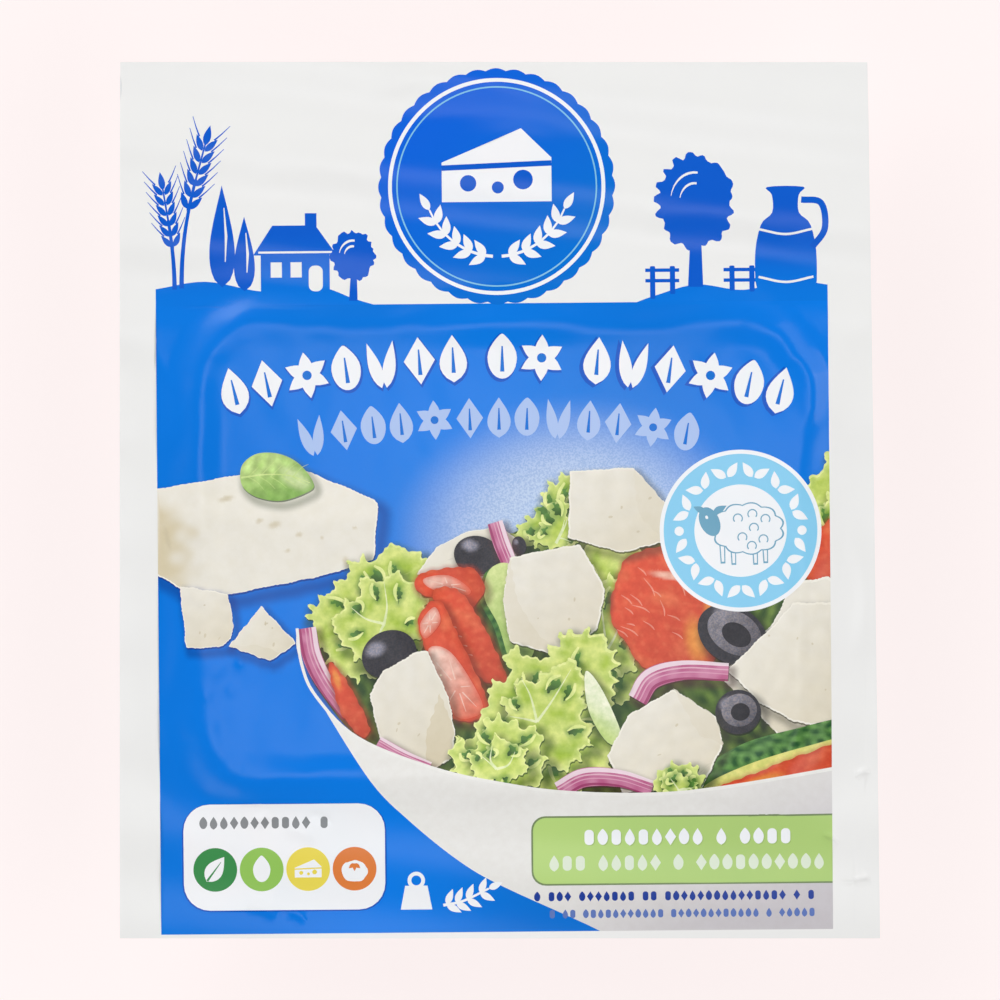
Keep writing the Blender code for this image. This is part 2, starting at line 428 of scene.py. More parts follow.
def fade(first, second, start, end):
    """A colour that changes from start to end."""
    run = (end[0] - start[0], end[1] - start[1])
    square = run[0] ** 2 + run[1] ** 2
    return lambda x, y: mixed(
        first, second, ease(((x - start[0]) * run[0] + (y - start[1]) * run[1]) / square))


def fade_across(first, second, outline):
    """A colour that changes from an outline's upper left to its lower right."""
    low, high = outline.min(0), outline.max(0)
    return fade(first, second, (low[0], high[1]), (high[0], low[1]))


def mottle(first, second, size, seed, share=0.5, depth=0.5):
    """Two colours in soft patches."""
    return lambda x, y: mixed(
        first, second, np.clip(share + depth * ripple(x, y, size, seed), 0.0, 1.0))


def streaky(colour, depth, size, seed):
    """A varying colour made a little lighter and darker in patches."""
    return lambda x, y: colour(x, y) * (1 + depth * ripple(x, y, size, seed))[:, None]


def away(x, y, outline):
    """Distance from the line of a closed outline."""
    nearest = np.full(len(x), 1e3)
    for (x0, y0), (x1, y1) in zip(outline, np.roll(outline, -1, axis=0)):
        run_x, run_y = x1 - x0, y1 - y0
        share = ((x - x0) * run_x + (y - y0) * run_y) / max(run_x**2 + run_y**2, 1e-9)
        share = np.clip(share, 0.0, 1.0)
        nearest = np.minimum(nearest, np.hypot(x - x0 - share * run_x, y - y0 - share * run_y))
    return nearest


class Print:
    """The layers of the print, lowest first, on a field that most of them end at."""

    def __init__(self, field, bare):
        self.field = field
        self.bare = bare
        self.layers = []

    def add(self, finish, colour, *loops, cover=1.0, grain=0.0, bleeds=True, soft=False):
        """Lay a colour inside loops. Colour, cover and grain may be functions of x and y.

        A layer without a finish keeps the one below it, and a soft one makes no edges. One that
        bleeds is cut off at the field's edge.
        """
        loops = [np.array(p, float) for p in loops]
        self.layers.append((finish, colour, loops, cover, grain, bleeds, soft))

    def mark(self, colour, *loops):
        """Lay plain ink that ends at the field."""
        self.add("ink", colour, *loops)

    def figure(self, colour, *loops):
        """Lay plain ink that may stand outside the field."""
        self.add("ink", colour, *loops, bleeds=False)

    def gap(self, *loops):
        """Leave the film bare inside a figure."""
        self.add("bare", self.bare, *loops, bleeds=False)

    def glow(self, colour, outline, reach, strength):
        """A soft band along both sides of an outline."""
        low, high = outline.min(0) - reach, outline.max(0) + reach
        self.add(None, colour, panel(*low, *high), soft=True,
                 cover=lambda x, y: strength * (1.0 - ease(away(x, y, outline) / reach)))

    def blot(self, colour, x, y, wide, high, turn=0.0, strength=1.0):
        """A soft-edged oval."""
        c, s = math.cos(math.radians(turn)), math.sin(math.radians(turn))

        def cover(px, py):
            along, across = (px - x) * c + (py - y) * s, (py - y) * c - (px - x) * s
            return strength * (1.0 - ease(np.hypot(along / wide, across / high) * 1.4 - 0.4))

        self.add(None, colour, oval(x, y, wide, high, turn), cover=cover, soft=True)


def sampled(value, x, y):
    """A fixed value or a function of x and y, at points."""
    if callable(value):
        return value(x, y)
    return np.tile(value, (len(x), 1) if np.ndim(value) else len(x))


# What the print shows


def from_halo(x, y):
    """Distance from the middle of the halo, which is wider than it is high."""
    return np.hypot(x - 12.9, (y + 6.7) * 1.3)


def field_colour(ink):
    """The blue field, with the halo behind the bowl."""
    light, outer_glow = tinted(ink.blue, 1.28), srgb(90, 178, 244)

    def colour(x, y):
        base = mixed(ink.blue, light, 0.45 + 0.25 * ripple(x, y, 60.0, 31))
        reach = from_halo(x, y)
        base = mixed(base, ink.halo, 1.0 - ease((reach - 12.0) / 21.0))
        return mixed(base, outer_glow, 0.26 * (1.0 - ease(reach / 48.0)))

    return colour


def print_field(page, ink):
    """The blue field and the halo, whose dots show as grain."""
    halo = lambda x, y: 0.7 * (1.0 - ease((from_halo(x, y) - 13.0) / 26.0))
    page.add("ink", field_colour(ink), page.field, grain=halo)


# The printed field's left, foot, right and head, in millimetres on the print
FIELD = (-58.65, -73.95, 56.4, 33.65)


def tree(page, colour, x, y, high, wide, seed):
    """A round tree with two light strokes in its crown."""
    page.figure(colour, band(((x, y), (x + 0.1, y + high * 0.34)), wide * 0.2, wide * 0.15))
    crown = oval(x, y + high * 0.66, wide / 2, high * 0.36)
    crown = uneven(crown, wide * 0.035, wide * 0.3, seed, 0.4)
    page.figure(colour, crown)
    for side in (0.20, 0.32):
        points = [(x - wide * side * math.cos(a), y + high * (0.66 + side * 0.7 * math.sin(a)))
                  for a in np.linspace(0.2, 1.7, 9)]
        page.gap(band(points, 0.1, 0.35, 1.6))


def cypress(page, colour, x, y, high, wide):
    """A slender tree."""
    page.figure(colour, moved(leaf_shape(high, wide, 14, 0.6), x, y))
    page.gap(band(((x + wide * 0.12, y + high * 0.25), (x + wide * 0.16, y + high * 0.5),
                   (x + wide * 0.08, y + high * 0.78)), 0.15, 0.15, 3.0))


def wheat(page, colour, foot, bend, high, size):
    """An ear of wheat on a bent stalk."""
    points = np.array([(foot[0] + bend * t * t, foot[1] + high * t)
                       for t in np.linspace(0.0, 1.0, 14)])
    page.figure(colour, band(points, 0.8, 0.5))
    lean = math.degrees(math.atan2(2 * bend, high))
    up = np.array((math.sin(math.radians(lean)), math.cos(math.radians(lean))))
    for pair in range(6):
        at = points[-1] + up * size * (0.62 * pair - 1.6)
        for side in (-1, 1):
            out = (up[1] * side * 0.22, -up[0] * side * 0.22)
            grain = moved(leaf_shape(size * 0.92, size * 0.34, 8), *(at + out), -lean - side * 33.0)
            page.figure(colour, grain)
            awn = moved(((0, size * 0.8), (side * 0.15, size * 1.3), (side * 0.2, size * 1.9)), *at,
                        -lean - side * 30.0)
            page.figure(colour, band(awn, 0.3, 0.1))
    page.figure(colour, band((points[-1] - up * size * 1.7, points[-1] + up * size * 2.0), 0.4, 0.3))
    page.figure(colour, moved(leaf_shape(size * 1.1, size * 0.4, 8), *(points[-1] + up * size * 1.8),
                              -lean))


def print_header(page, ink):
    """Blue farm figures that stand on the field, in the white header."""
    blue, top = ink.deep_blue, 33.4
    fade_blue = fade(tinted(ink.blue, 1.126), blue, (0.0, top), (0.0, top + 14.0))
    hill = curve(((FIELD[0], top + 3.2), (-50.0, top + 4.4), (-40.0, top + 2.6), (-31.0, top + 3.4),
                  (-24.5, top + 1.2), (-20.5, top)), closed=False)
    page.figure(fade_blue, np.concatenate((hill, ((FIELD[0], top),))))
    wheat(page, blue, (-55.4, top + 3.1), -1.0, 11.9, 2.9)
    wheat(page, blue, (-54.2, top + 3.3), 2.6, 18.7, 3.3)
    cypress(page, blue, -47.2, top + 3.4, 17.5, 4.4)
    cypress(page, blue, -43.4, top + 2.7, 12.8, 3.6)
    house = ((-40.6, top + 1.0), (-28.8, top + 1.0), (-28.8, top + 8.8), (-27.6, top + 8.8),
             (-31.0, top + 13.6), (-31.0, top + 16.0), (-33.0, top + 16.0), (-33.0, top + 13.9),
             (-38.6, top + 13.9), (-41.9, top + 8.8), (-40.6, top + 8.8))
    page.figure(fade_blue, house)
    page.gap(band(((-41.0, top + 9.3), (-28.4, top + 9.3)), 0.35))
    for x in (-38.9, -35.5):
        page.gap(panel(x, top + 5.0, x + 1.9, top + 7.6))
    page.gap(panel(-32.4, top + 2.6, -30.0, top + 7.0, 1.0))
    tree(page, blue, -24.8, top + 0.9, 11.7, 7.4, 3)
    hill = curve(((23.0, top), (27.0, top + 1.4), (34.0, top + 3.2), (42.0, top + 2.2),
                  (50.0, top + 3.8), (FIELD[2], top + 3.0)), closed=False)
    page.figure(fade_blue, np.concatenate((hill, ((FIELD[2], top),))))
    tree(page, blue, 33.8, top + 2.8, 22.2, 13.0, 9)
    for x, foot in ((26.0, 0.8), (29.4, 1.6), (39.6, 2.1), (43.0, 1.9)):
        page.figure(blue, panel(x, top + foot, x + 0.9, top + 6.4, 0.2, 2))
    for high in (3.6, 5.4):
        for x0, x1 in ((25.2, 31.0), (38.6, 45.0)):
            page.figure(blue, panel(x0, top + high, x1, top + high + 0.6))
    barrel = ((45.2, top + 1.0), (53.4, top + 1.0), (54.6, top + 7.2), (53.6, top + 13.2),
              (51.6, top + 15.4), (51.6, top + 18.4), (52.4, top + 19.8), (46.2, top + 19.8),
              (47.0, top + 18.4), (47.0, top + 15.4), (45.0, top + 13.2), (44.0, top + 7.2))
    page.figure(fade_blue, curve(barrel, 4))
    handle = curve(((52.0, top + 17.6), (55.4, top + 17.0), (56.0, top + 12.6), (53.8, top + 9.4)),
                   8, False)
    page.figure(blue, band(handle, 1.1))
    for high in (4.4, 12.6):
        ring = curve(((44.6, top + high), (49.3, top + high - 0.9), (54.0, top + high)), 6, False)
        page.gap(band(ring, 0.4))


def wedge(page, colour, x, y, size, hole):
    """A wedge of cheese with holes."""
    body = moved(((-1.0, -0.62), (1.0, -0.62), (1.0, 0.18), (0.45, 0.72), (-1.0, 0.10)), x, y, 0, size)
    page.figure(colour, body)
    line = moved(((-1.0, 0.0), (1.0, 0.08)), x, y, 0, size)
    page.figure(hole, band(line, 0.10 * size))
    for hx, hy, radius in ((-0.52, -0.28, 0.15), (0.02, -0.36, 0.11), (0.48, -0.22, 0.18)):
        page.figure(hole, oval(x + hx * size, y + hy * size, radius * size, steps=20))


def print_emblem(page, ink):
    """A scalloped blue disc with a wedge of cheese and two sprigs."""
    x, y, radius = -0.1, 53.7, 20.3
    shade = fade(tinted(ink.deep_blue, 1.18), ink.blue, (x - 14.0, y + 14.0), (x + 12.0, y - 18.0))
    angles = np.linspace(0.0, math.tau, 288, endpoint=False)
    edge = radius - 0.45 * (1 - abs(np.cos(18 * angles)))
    page.figure(shade, np.stack((x + edge * np.cos(angles), y + edge * np.sin(angles)), axis=1))
    page.figure(ink.white, oval(x, y, radius - 1.7, steps=120), oval(x, y, radius - 2.35, steps=120))
    page.figure(tinted(ink.sky, 0.9), oval(x, y, radius - 3.1, steps=120),
                oval(x, y, radius - 3.35, steps=120))
    wedge(page, ink.white, x, y + 3.2, 9.4, ink.deep_blue)
    for side in (-1, 1):
        stem = [(x + side * 12.6 * math.sin(a), y + 1.4 - 13.4 * math.cos(a))
                for a in np.linspace(0.06, 1.16, 12)]
        page.figure(ink.white, band(stem, 0.55, 0.3))
        for step in range(1, 11, 2):
            at = stem[step]
            heading = -math.degrees(math.atan2(stem[step + 1][0] - at[0], stem[step + 1][1] - at[1]))
            for lean in (-42.0, 42.0):
                page.figure(ink.white, moved(leaf_shape(3.3, 1.45, 8), *at, heading + lean))
        page.figure(ink.white, moved(leaf_shape(3.3, 1.4, 8), *stem[-1], heading))


ORNAMENT_WIDTHS = {"leaf": 0.58, "drop": 0.60, "gem": 0.66, "flower": 0.88, "pair": 0.74, " ": 0.26}


def ornament(kind, size):
    """One of a few plain ornaments, centred on the origin and about size high."""
    half = size / 2
    if kind == "leaf":
        return [moved(leaf_shape(size, size * 0.58), 0, -half)]
    if kind == "drop":
        point = [(half * 0.62 * math.cos(a) * (1 - 0.55 * max(0.0, math.sin(a)) ** 2),
                  half * (math.sin(a) if math.sin(a) > 0 else 0.9 * math.sin(a)))
                 for a in np.linspace(0.0, math.tau, 28, endpoint=False)]
        return [np.array(point)]
    if kind == "gem":
        return [np.array(((0, -half), (half * 0.66, 0), (0, half), (-half * 0.66, 0)))]
    if kind == "flower":
        return [moved(leaf_shape(half * 0.98, half * 0.56, 6), 0, 0, 60 * k) for k in range(6)]
    if kind == "pair":
        return [moved(leaf_shape(size, size * 0.27), s * 0.05 * size, -half, -s * 13)
                for s in (-1, 1)]
    return [panel(-half * 0.55, -half * 0.9, half * 0.55, half * 0.9, half * 0.5)]


def ornament_row(page, colour, line, radius, start, kinds, gap, size, vein=None):
    """Ornaments along an arch of a radius whose top is at a height. A blank kind leaves a gap."""
    at = start
    for kind in kinds:
        half = size * ORNAMENT_WIDTHS.get(kind, 0.5) / 2
        at += half
        angle = at / radius
        x, y = radius * math.sin(angle), line - radius * (1 - math.cos(angle))
        turn = -math.degrees(angle)
        for shape in ornament(kind, size) if kind != " " else ():
            page.mark(colour, moved(shape, x, y, turn))
        if vein is not None and kind in ("leaf", "gem", "drop"):
            mark = moved(((0, -size * 0.30), (0, size * 0.24)), x, y, turn)
            page.mark(vein, band(mark, size * 0.09, size * 0.03))
        if vein is not None and kind == "flower":
            page.mark(vein, oval(x, y, size * 0.1, steps=14))
        at += half + gap


def print_titles(page, ink):
    """Two arched rows of ornaments, white above and pale blue below."""
    words = ("leaf", "gem", "flower", "drop", "pair", "gem", "leaf", " ", "drop", "flower", " ",
             "leaf", "pair", "gem", "flower", "drop", "leaf")
    ornament_row(page, tinted(ink.deep_blue, 0.9), 24.15, 193.9, -48.2, words, 0.28, 8.8)
    ornament_row(page, ink.white, 24.4, 193.9, -48.1, words, 0.76, 8.1, ink.blue)
    words = ("pair", "gem", "drop", "leaf", "flower", "gem", "leaf", "drop", "pair", "leaf", "gem",
             "flower", "drop")
    ornament_row(page, ink.pale_blue, 14.1, 183.5, -34.8, words, 0.72, 6.9, ink.blue)


def lie(page, outline, dark, depth=0.3, reach=1.5, strength=0.55):
    """The shadow of a pictured thing: soft on its lower right and a thin dark edge."""
    page.glow(dark, outline + (0.45 * reach, -0.65 * reach), reach, strength)
    page.add("picture", dark, outline + (0.10, -depth), cover=0.8)


def chunk(page, ink, outline, facets=(), seed=1, dark=srgb(66, 64, 48)):
    """A broken piece of cheese: light rim, soft shading, shaded faces and a few pores."""
    outline = np.array(outline, float)
    rough = uneven(uneven(outline, 0.07, 5.0, seed, 0.4), 0.04, 1.0, seed + 1, 0.3)
    lie(page, rough, dark, 0.3)
    low, high = outline.min(0), outline.max(0)
    page.add("cheese", tinted(ink.cheese, 1.07), rough)
    inner = about(outline.mean(0), rough, 0.965)
    lit, shade = np.array(ink.cheese), mixed(ink.cheese, ink.cheese_shade, 0.6)
    slope = fade(lit, shade, low + (high - low) * (0.1, 1.0), low + (high - low) * (0.9, -0.2))
    page.add("cheese", streaky(slope, 0.018, 3.4, seed), inner)
    for points, depth in facets:
        points = uneven(np.array(points, float), 0.12, 3.0, seed + 2, 0.4)
        tone = mixed(ink.cheese, ink.cheese_shade, depth)
        tone = fade_across(tone, tone * (0.93, 0.91, 0.86), points)
        page.add("cheese", tone, points, cover=0.85)
    draw = np.random.default_rng(seed)
    for _ in range(4):
        x, y = outline.mean(0) + draw.uniform(-0.32, 0.32, 2) * (outline.max(0) - outline.min(0))
        page.add("cheese", tinted(ink.cheese_shade, draw.uniform(0.85, 0.97)),
                 oval(x, y, draw.uniform(0.15, 0.4), draw.uniform(0.1, 0.22), draw.uniform(0, 90), 10),
                 cover=0.7)


def print_block(page, ink):
    """A block of cheese with a slice and a crumb in front, and a leaf on top."""
    dark = srgb(10, 52, 140)
    base = np.array(((-60.0, 2.2), (-43.8, 4.8), (-33.2, 5.3), (-21.6, 0.4), (-20.9, -0.6),
                     (-21.6, -10.0), (-30.0, -12.6), (-47.2, -15.9), (-54.6, -14.8), (-60.0, -11.6)))
    rough = uneven(uneven(base, 0.06, 7.0, 4, 0.5), 0.04, 1.2, 5, 0.35)
    lie(page, rough, dark, 0.35, 2.2, 0.6)
    page.add("cheese", tinted(ink.cheese, 1.10), rough)
    lit, shade = np.array(ink.cheese), tinted(ink.cheese_shade, 1.02)

    def faces(x, y):
        lower = ease((-1.2 - 0.03 * (x + 49.0) - y) / 3.0)[:, None]
        turned = 1.0 - ease((x + 58.6 - 1.2 * ripple(x, y, 4.0, 12)) / 8.0)
        side = turned * ease((2.4 - y - 0.45 * (x + 60.0)) / 4.0)
        tone = lit * (1.03 - 0.045 * lower) * (1.0 + 0.012 * ripple(x, y, 5.0, 6))[:, None]
        return mixed(tone, shade, side)

    page.add("cheese", faces, about(base.mean(0), rough, 0.985))
    for x, y, wide, high in ((-41.2, -3.2, 0.5, 0.3), (-38.6, -3.9, 0.9, 0.4), (-34.4, -5.6, 0.5, 0.3),
                             (-26.4, -10.4, 0.5, 0.7), (-46.9, 0.6, 1.1, 0.35), (-36.4, -8.4, 0.4, 0.25),
                             (-30.5, -6.2, 0.3, 0.3), (-24.9, -4.6, 0.4, 0.2), (-57.0, -6.0, 0.35, 1.6)):
        page.blot(tinted(ink.cheese_shade, 0.92), x, y, wide * 1.7, high * 1.9, 14.0, 0.75)
    chunk(
        page, ink,
        ((-54.9, -14.2), (-46.7, -15.6), (-45.7, -21.0), (-46.1, -23.2), (-48.0, -24.7),
         (-53.9, -24.9)), (), 12, dark)
    chunk(page, ink, ((-41.0, -17.8), (-35.0, -24.2), (-39.6, -27.2), (-46.6, -24.6)),
          ((((-46.4, -24.6), (-39.6, -27.0), (-37.6, -25.8), (-42.0, -24.4)), 0.35),), 15, dark)
    blade = curve(((-44.4, 4.2), (-43.9, 6.6), (-41.4, 8.3), (-37.6, 8.2), (-34.2, 6.4), (-31.8, 3.0),
                   (-33.2, 1.5), (-37.4, 0.2), (-41.4, 0.8), (-43.7, 2.3)), 6)
    lie(page, blade, srgb(70, 88, 48), 0.25, 1.4, 0.5)
    green = fade(srgb(198, 222, 146), srgb(136, 178, 92), (-41.0, 8.0), (-38.0, -0.4))
    page.add("leaf", streaky(green, 0.16, 2.2, 8), blade)
    page.blot(srgb(222, 234, 184), -35.0, 4.0, 4.0, 2.2, -30.0, 0.75)
    spine = curve(((-44.3, 4.2), (-40.0, 4.7), (-36.0, 4.5), (-32.4, 3.2)), 5, False)
    page.add("leaf", srgb(214, 230, 160), band(spine, 0.34, 0.08))
    for step in range(5):
        x = -43.0 + 1.9 * step
        for side in (-1, 1):
            tip = (x + 2.7, 4.6 + side * (2.6 - 0.2 * step))
            rib = curve(((x, 4.3), (x + 1.5, 4.6 + side * 1.2), tip), 4, False)
            page.add("leaf", srgb(206, 226, 150), band(rib, 0.22, 0.06), cover=0.6)


def lettuce(page, ink, points, root, seed, light=1.0, frills=0.8):
    """A curly leaf: a lobed blade with pale rims and folds, and deep pockets between the folds."""
    centre, whole = np.array(root, float), curve(points, 5)
    pale = tinted(srgb(232, 238, 162), light)
    draw = np.random.default_rng(seed)
    for layer, size in enumerate((1.0, 0.66)):
        number = seed * 10 + layer
        depth = frills * (0.55 + 0.45 * size)
        edge = uneven(about(centre, whole, size), depth, 7.5, number, 0.35, True)
        edge = uneven(edge, 0.16, 1.8, number + 1, 0.3)
        lie(page, edge, srgb(44, 74, 32), 0.28, 1.9, 0.65)
        page.add("leaf", pale, edge)
        blade = np.array(tinted(ink.leaf, light))

        def tone(x, y, number=number, blade=blade, edge=edge):
            wide, fine = ripple(x, y, 5.0, number + 2), ripple(x, y, 1.8, number + 3)
            folded = np.clip(0.5 + 0.34 * wide + 0.16 * fine, 0, 1)
            colour = mixed(blade * (0.60, 0.74, 0.42), mixed(blade, pale, 0.6), folded)
            return mixed(colour, pale, 0.55 * (1.0 - ease(away(x, y, edge) / 1.3)))

        page.add("leaf", tone, about(centre, edge, 1.0 - 0.03 / size))
        count = 7 if layer == 0 else 5
        for pick in range(count):
            spot = whole[int((pick + draw.uniform(0.2, 0.8)) / count * len(whole)) % len(whole)]
            out = (spot - centre) * size
            reach = np.linalg.norm(out)
            turn = math.degrees(math.atan2(-out[0], out[1])) + draw.uniform(-34, 34)
            long, wide = draw.uniform(0.24, 0.38) * reach, draw.uniform(0.9, 1.9)
            at = centre + out * draw.uniform(0.42, 0.56)
            pocket = moved(leaf_shape(long, wide, 8, 1.3), *at, turn)
            pocket = uneven(pocket, 0.22, 1.6, number + pick, 0.3)
            page.glow(tinted(ink.leaf_dark, 1.7), pocket, 0.9, 0.6)
            deep, shallow = tinted(ink.leaf_dark, 0.55), tinted(ink.leaf_dark, 1.7)
            page.add("leaf", fade(deep, shallow, at, at + out * long / reach), pocket)
            side = draw.choice((-1, 1))
            curl = curve([moved(((side * (0.1 + 0.5 * wide * b), long * a),), *at, turn)[0]
                          for a, b in ((0.1, 0.3), (0.45, 1.1), (0.8, 1.2), (1.15, 0.5))], 4, False)
            page.add("leaf", pale, band(curl, 0.2, 0.35, 2.2))
    for pick in draw.choice(len(whole), 3, replace=False):
        end = about(centre, whole[pick], draw.uniform(0.4, 0.6))
        vein = curve((centre, (end + centre) / 2 + draw.uniform(-0.8, 0.8, 2), end), 5, False)
        page.add("leaf", tinted(srgb(238, 243, 206), light), band(vein, 0.5, 0.08), cover=0.8)


def tomato(page, ink, points, faces=(), streaks=(), seed=1, glows=()):
    """A piece of tomato: flesh, paler cut faces, short pale streaks and yellow patches."""
    outline = uneven(curve(points, 6), 0.10, 3.0, seed, 0.4)
    lie(page, outline, srgb(84, 34, 24), 0.25, 1.4, 0.55)
    flesh = fade_across(tinted(ink.tomato, 1.14), tinted(ink.tomato, 0.86), outline)

    def tone(x, y):
        warm = 0.5 * ease(0.5 * ripple(x, y, 6.0, seed + 5))
        warm = warm + 0.3 * ease(0.6 * ripple(x, y, 1.7, seed + 6))
        return mixed(flesh(x, y), srgb(240, 132, 88), warm)

    page.add("tomato", tone, outline)
    page.glow(tinted(ink.tomato, 0.62), outline, 0.8, 0.4)
    for x, y, wide, tall, turn in glows:
        page.blot(srgb(238, 162, 74), x, y, wide, tall, turn, 0.75)
    for face in faces:
        face = curve(face, 6)
        page.add("tomato", srgb(178, 50, 34), uneven(face, 0.0, 1.0, seed) + (0.14, -0.05), cover=0.8)
        pale = fade_across(srgb(244, 206, 192), srgb(226, 118, 92), face)
        page.add("tomato", streaky(pale, 0.05, 2.0, seed + 1), face)
        middle = face.mean(0)
        page.glow(tinted(ink.tomato, 1.05), face, 0.7, 0.55)
        for spot in face[:: len(face) // 6]:
            fibre = middle + np.outer((0.2, 0.5, 0.78), spot - middle)
            page.add("tomato", srgb(250, 226, 212), band(fibre, 0.24, 0.08), cover=0.55)
    for x, y, length, turn in streaks:
        line = curve(((0, 0), (0.06 * length, 0.4 * length), (-0.05 * length, length)), 4, False)
        line = band(moved(line, x, y, turn), 0.1, 0.06, 3.2)
        page.add("tomato", srgb(248, 200, 178), line, cover=0.4)


def olive(page, ink, x, y, wide, high, turn, ringed):
    """A black olive, whole or cut so that its ring shows."""
    body = oval(x, y, wide, high, turn, 40)
    lie(page, body, srgb(28, 30, 26), 0.3, 1.6, 0.6)
    page.add("olive", ink.olive, body, grain=0.7)
    shine = moved(((-0.38 * wide, 0.42 * high),), x, y, turn)[0]
    page.blot(srgb(172, 168, 178), *shine, wide * 0.5, high * 0.42, turn, 0.75)
    if ringed:
        face = oval(x + 0.05 * wide, y + 0.08 * high, wide * 0.78, high * 0.74, turn, 34)
        lit, shaded = srgb(148, 142, 146), srgb(84, 80, 84)
        page.add("olive", fade(lit, shaded, (x - wide, y + high), (x + wide, y - high)), face,
                 grain=0.9)
        hollow = oval(x + 0.1 * wide, y, wide * 0.42, high * 0.40, turn, 26)
        page.add("olive", srgb(44, 42, 46), hollow, grain=0.5)


def onion(page, ink, points, width, seed):
    """A strip of red onion: purple skin and pale layers."""
    line = curve(points, 7, False)
    strip = band(line, width, width * 0.7, 1.25)
    lie(page, strip, srgb(76, 44, 46), 0.3, 1.4, 0.6)
    page.add("picture", mottle(ink.onion, srgb(208, 136, 168), 3.0, seed), strip)
    across = np.gradient(line, axis=0)
    across = np.stack((-across[:, 1], across[:, 0]), axis=1)
    across /= np.linalg.norm(across, axis=1, keepdims=True)
    for side, wide, colour in ((0.38, 0.26, srgb(244, 226, 234)), (0.12, 0.08, srgb(232, 190, 206)),
                               (-0.42, 0.14, srgb(156, 60, 104)), (-0.10, 0.07, srgb(222, 166, 190))):
        layer = band(line + across * width * side, width * wide, width * wide * 0.6, 1.2)
        page.add("picture", colour, layer, cover=0.85)


def scattered(seed, count, low, high):
    """Short streaks strewn over a box, as (x, y, length, turn)."""
    draw = np.random.default_rng(seed)
    return [(*draw.uniform(low, high), draw.uniform(1.2, 4.0), draw.normal(48, 16))
            for _ in range(count)]


def gleam(page, ink, colour, *place):
    """A soft light patch."""
    page.blot(colour, *place)


def green_piece(page, ink, points, steps, shadow, reach, colour, inner=None):
    """A leafy ground, or a piece of cucumber, rind or stalk, with a paler inside if it has one."""
    outline = curve(points, steps)
    if shadow is not None:
        lie(page, outline, shadow, 0.3, reach, 0.6)
    page.add("leaf", colour, outline)
    if inner is not None:
        page.add("leaf", inner, outline + (0.75, 0.55))


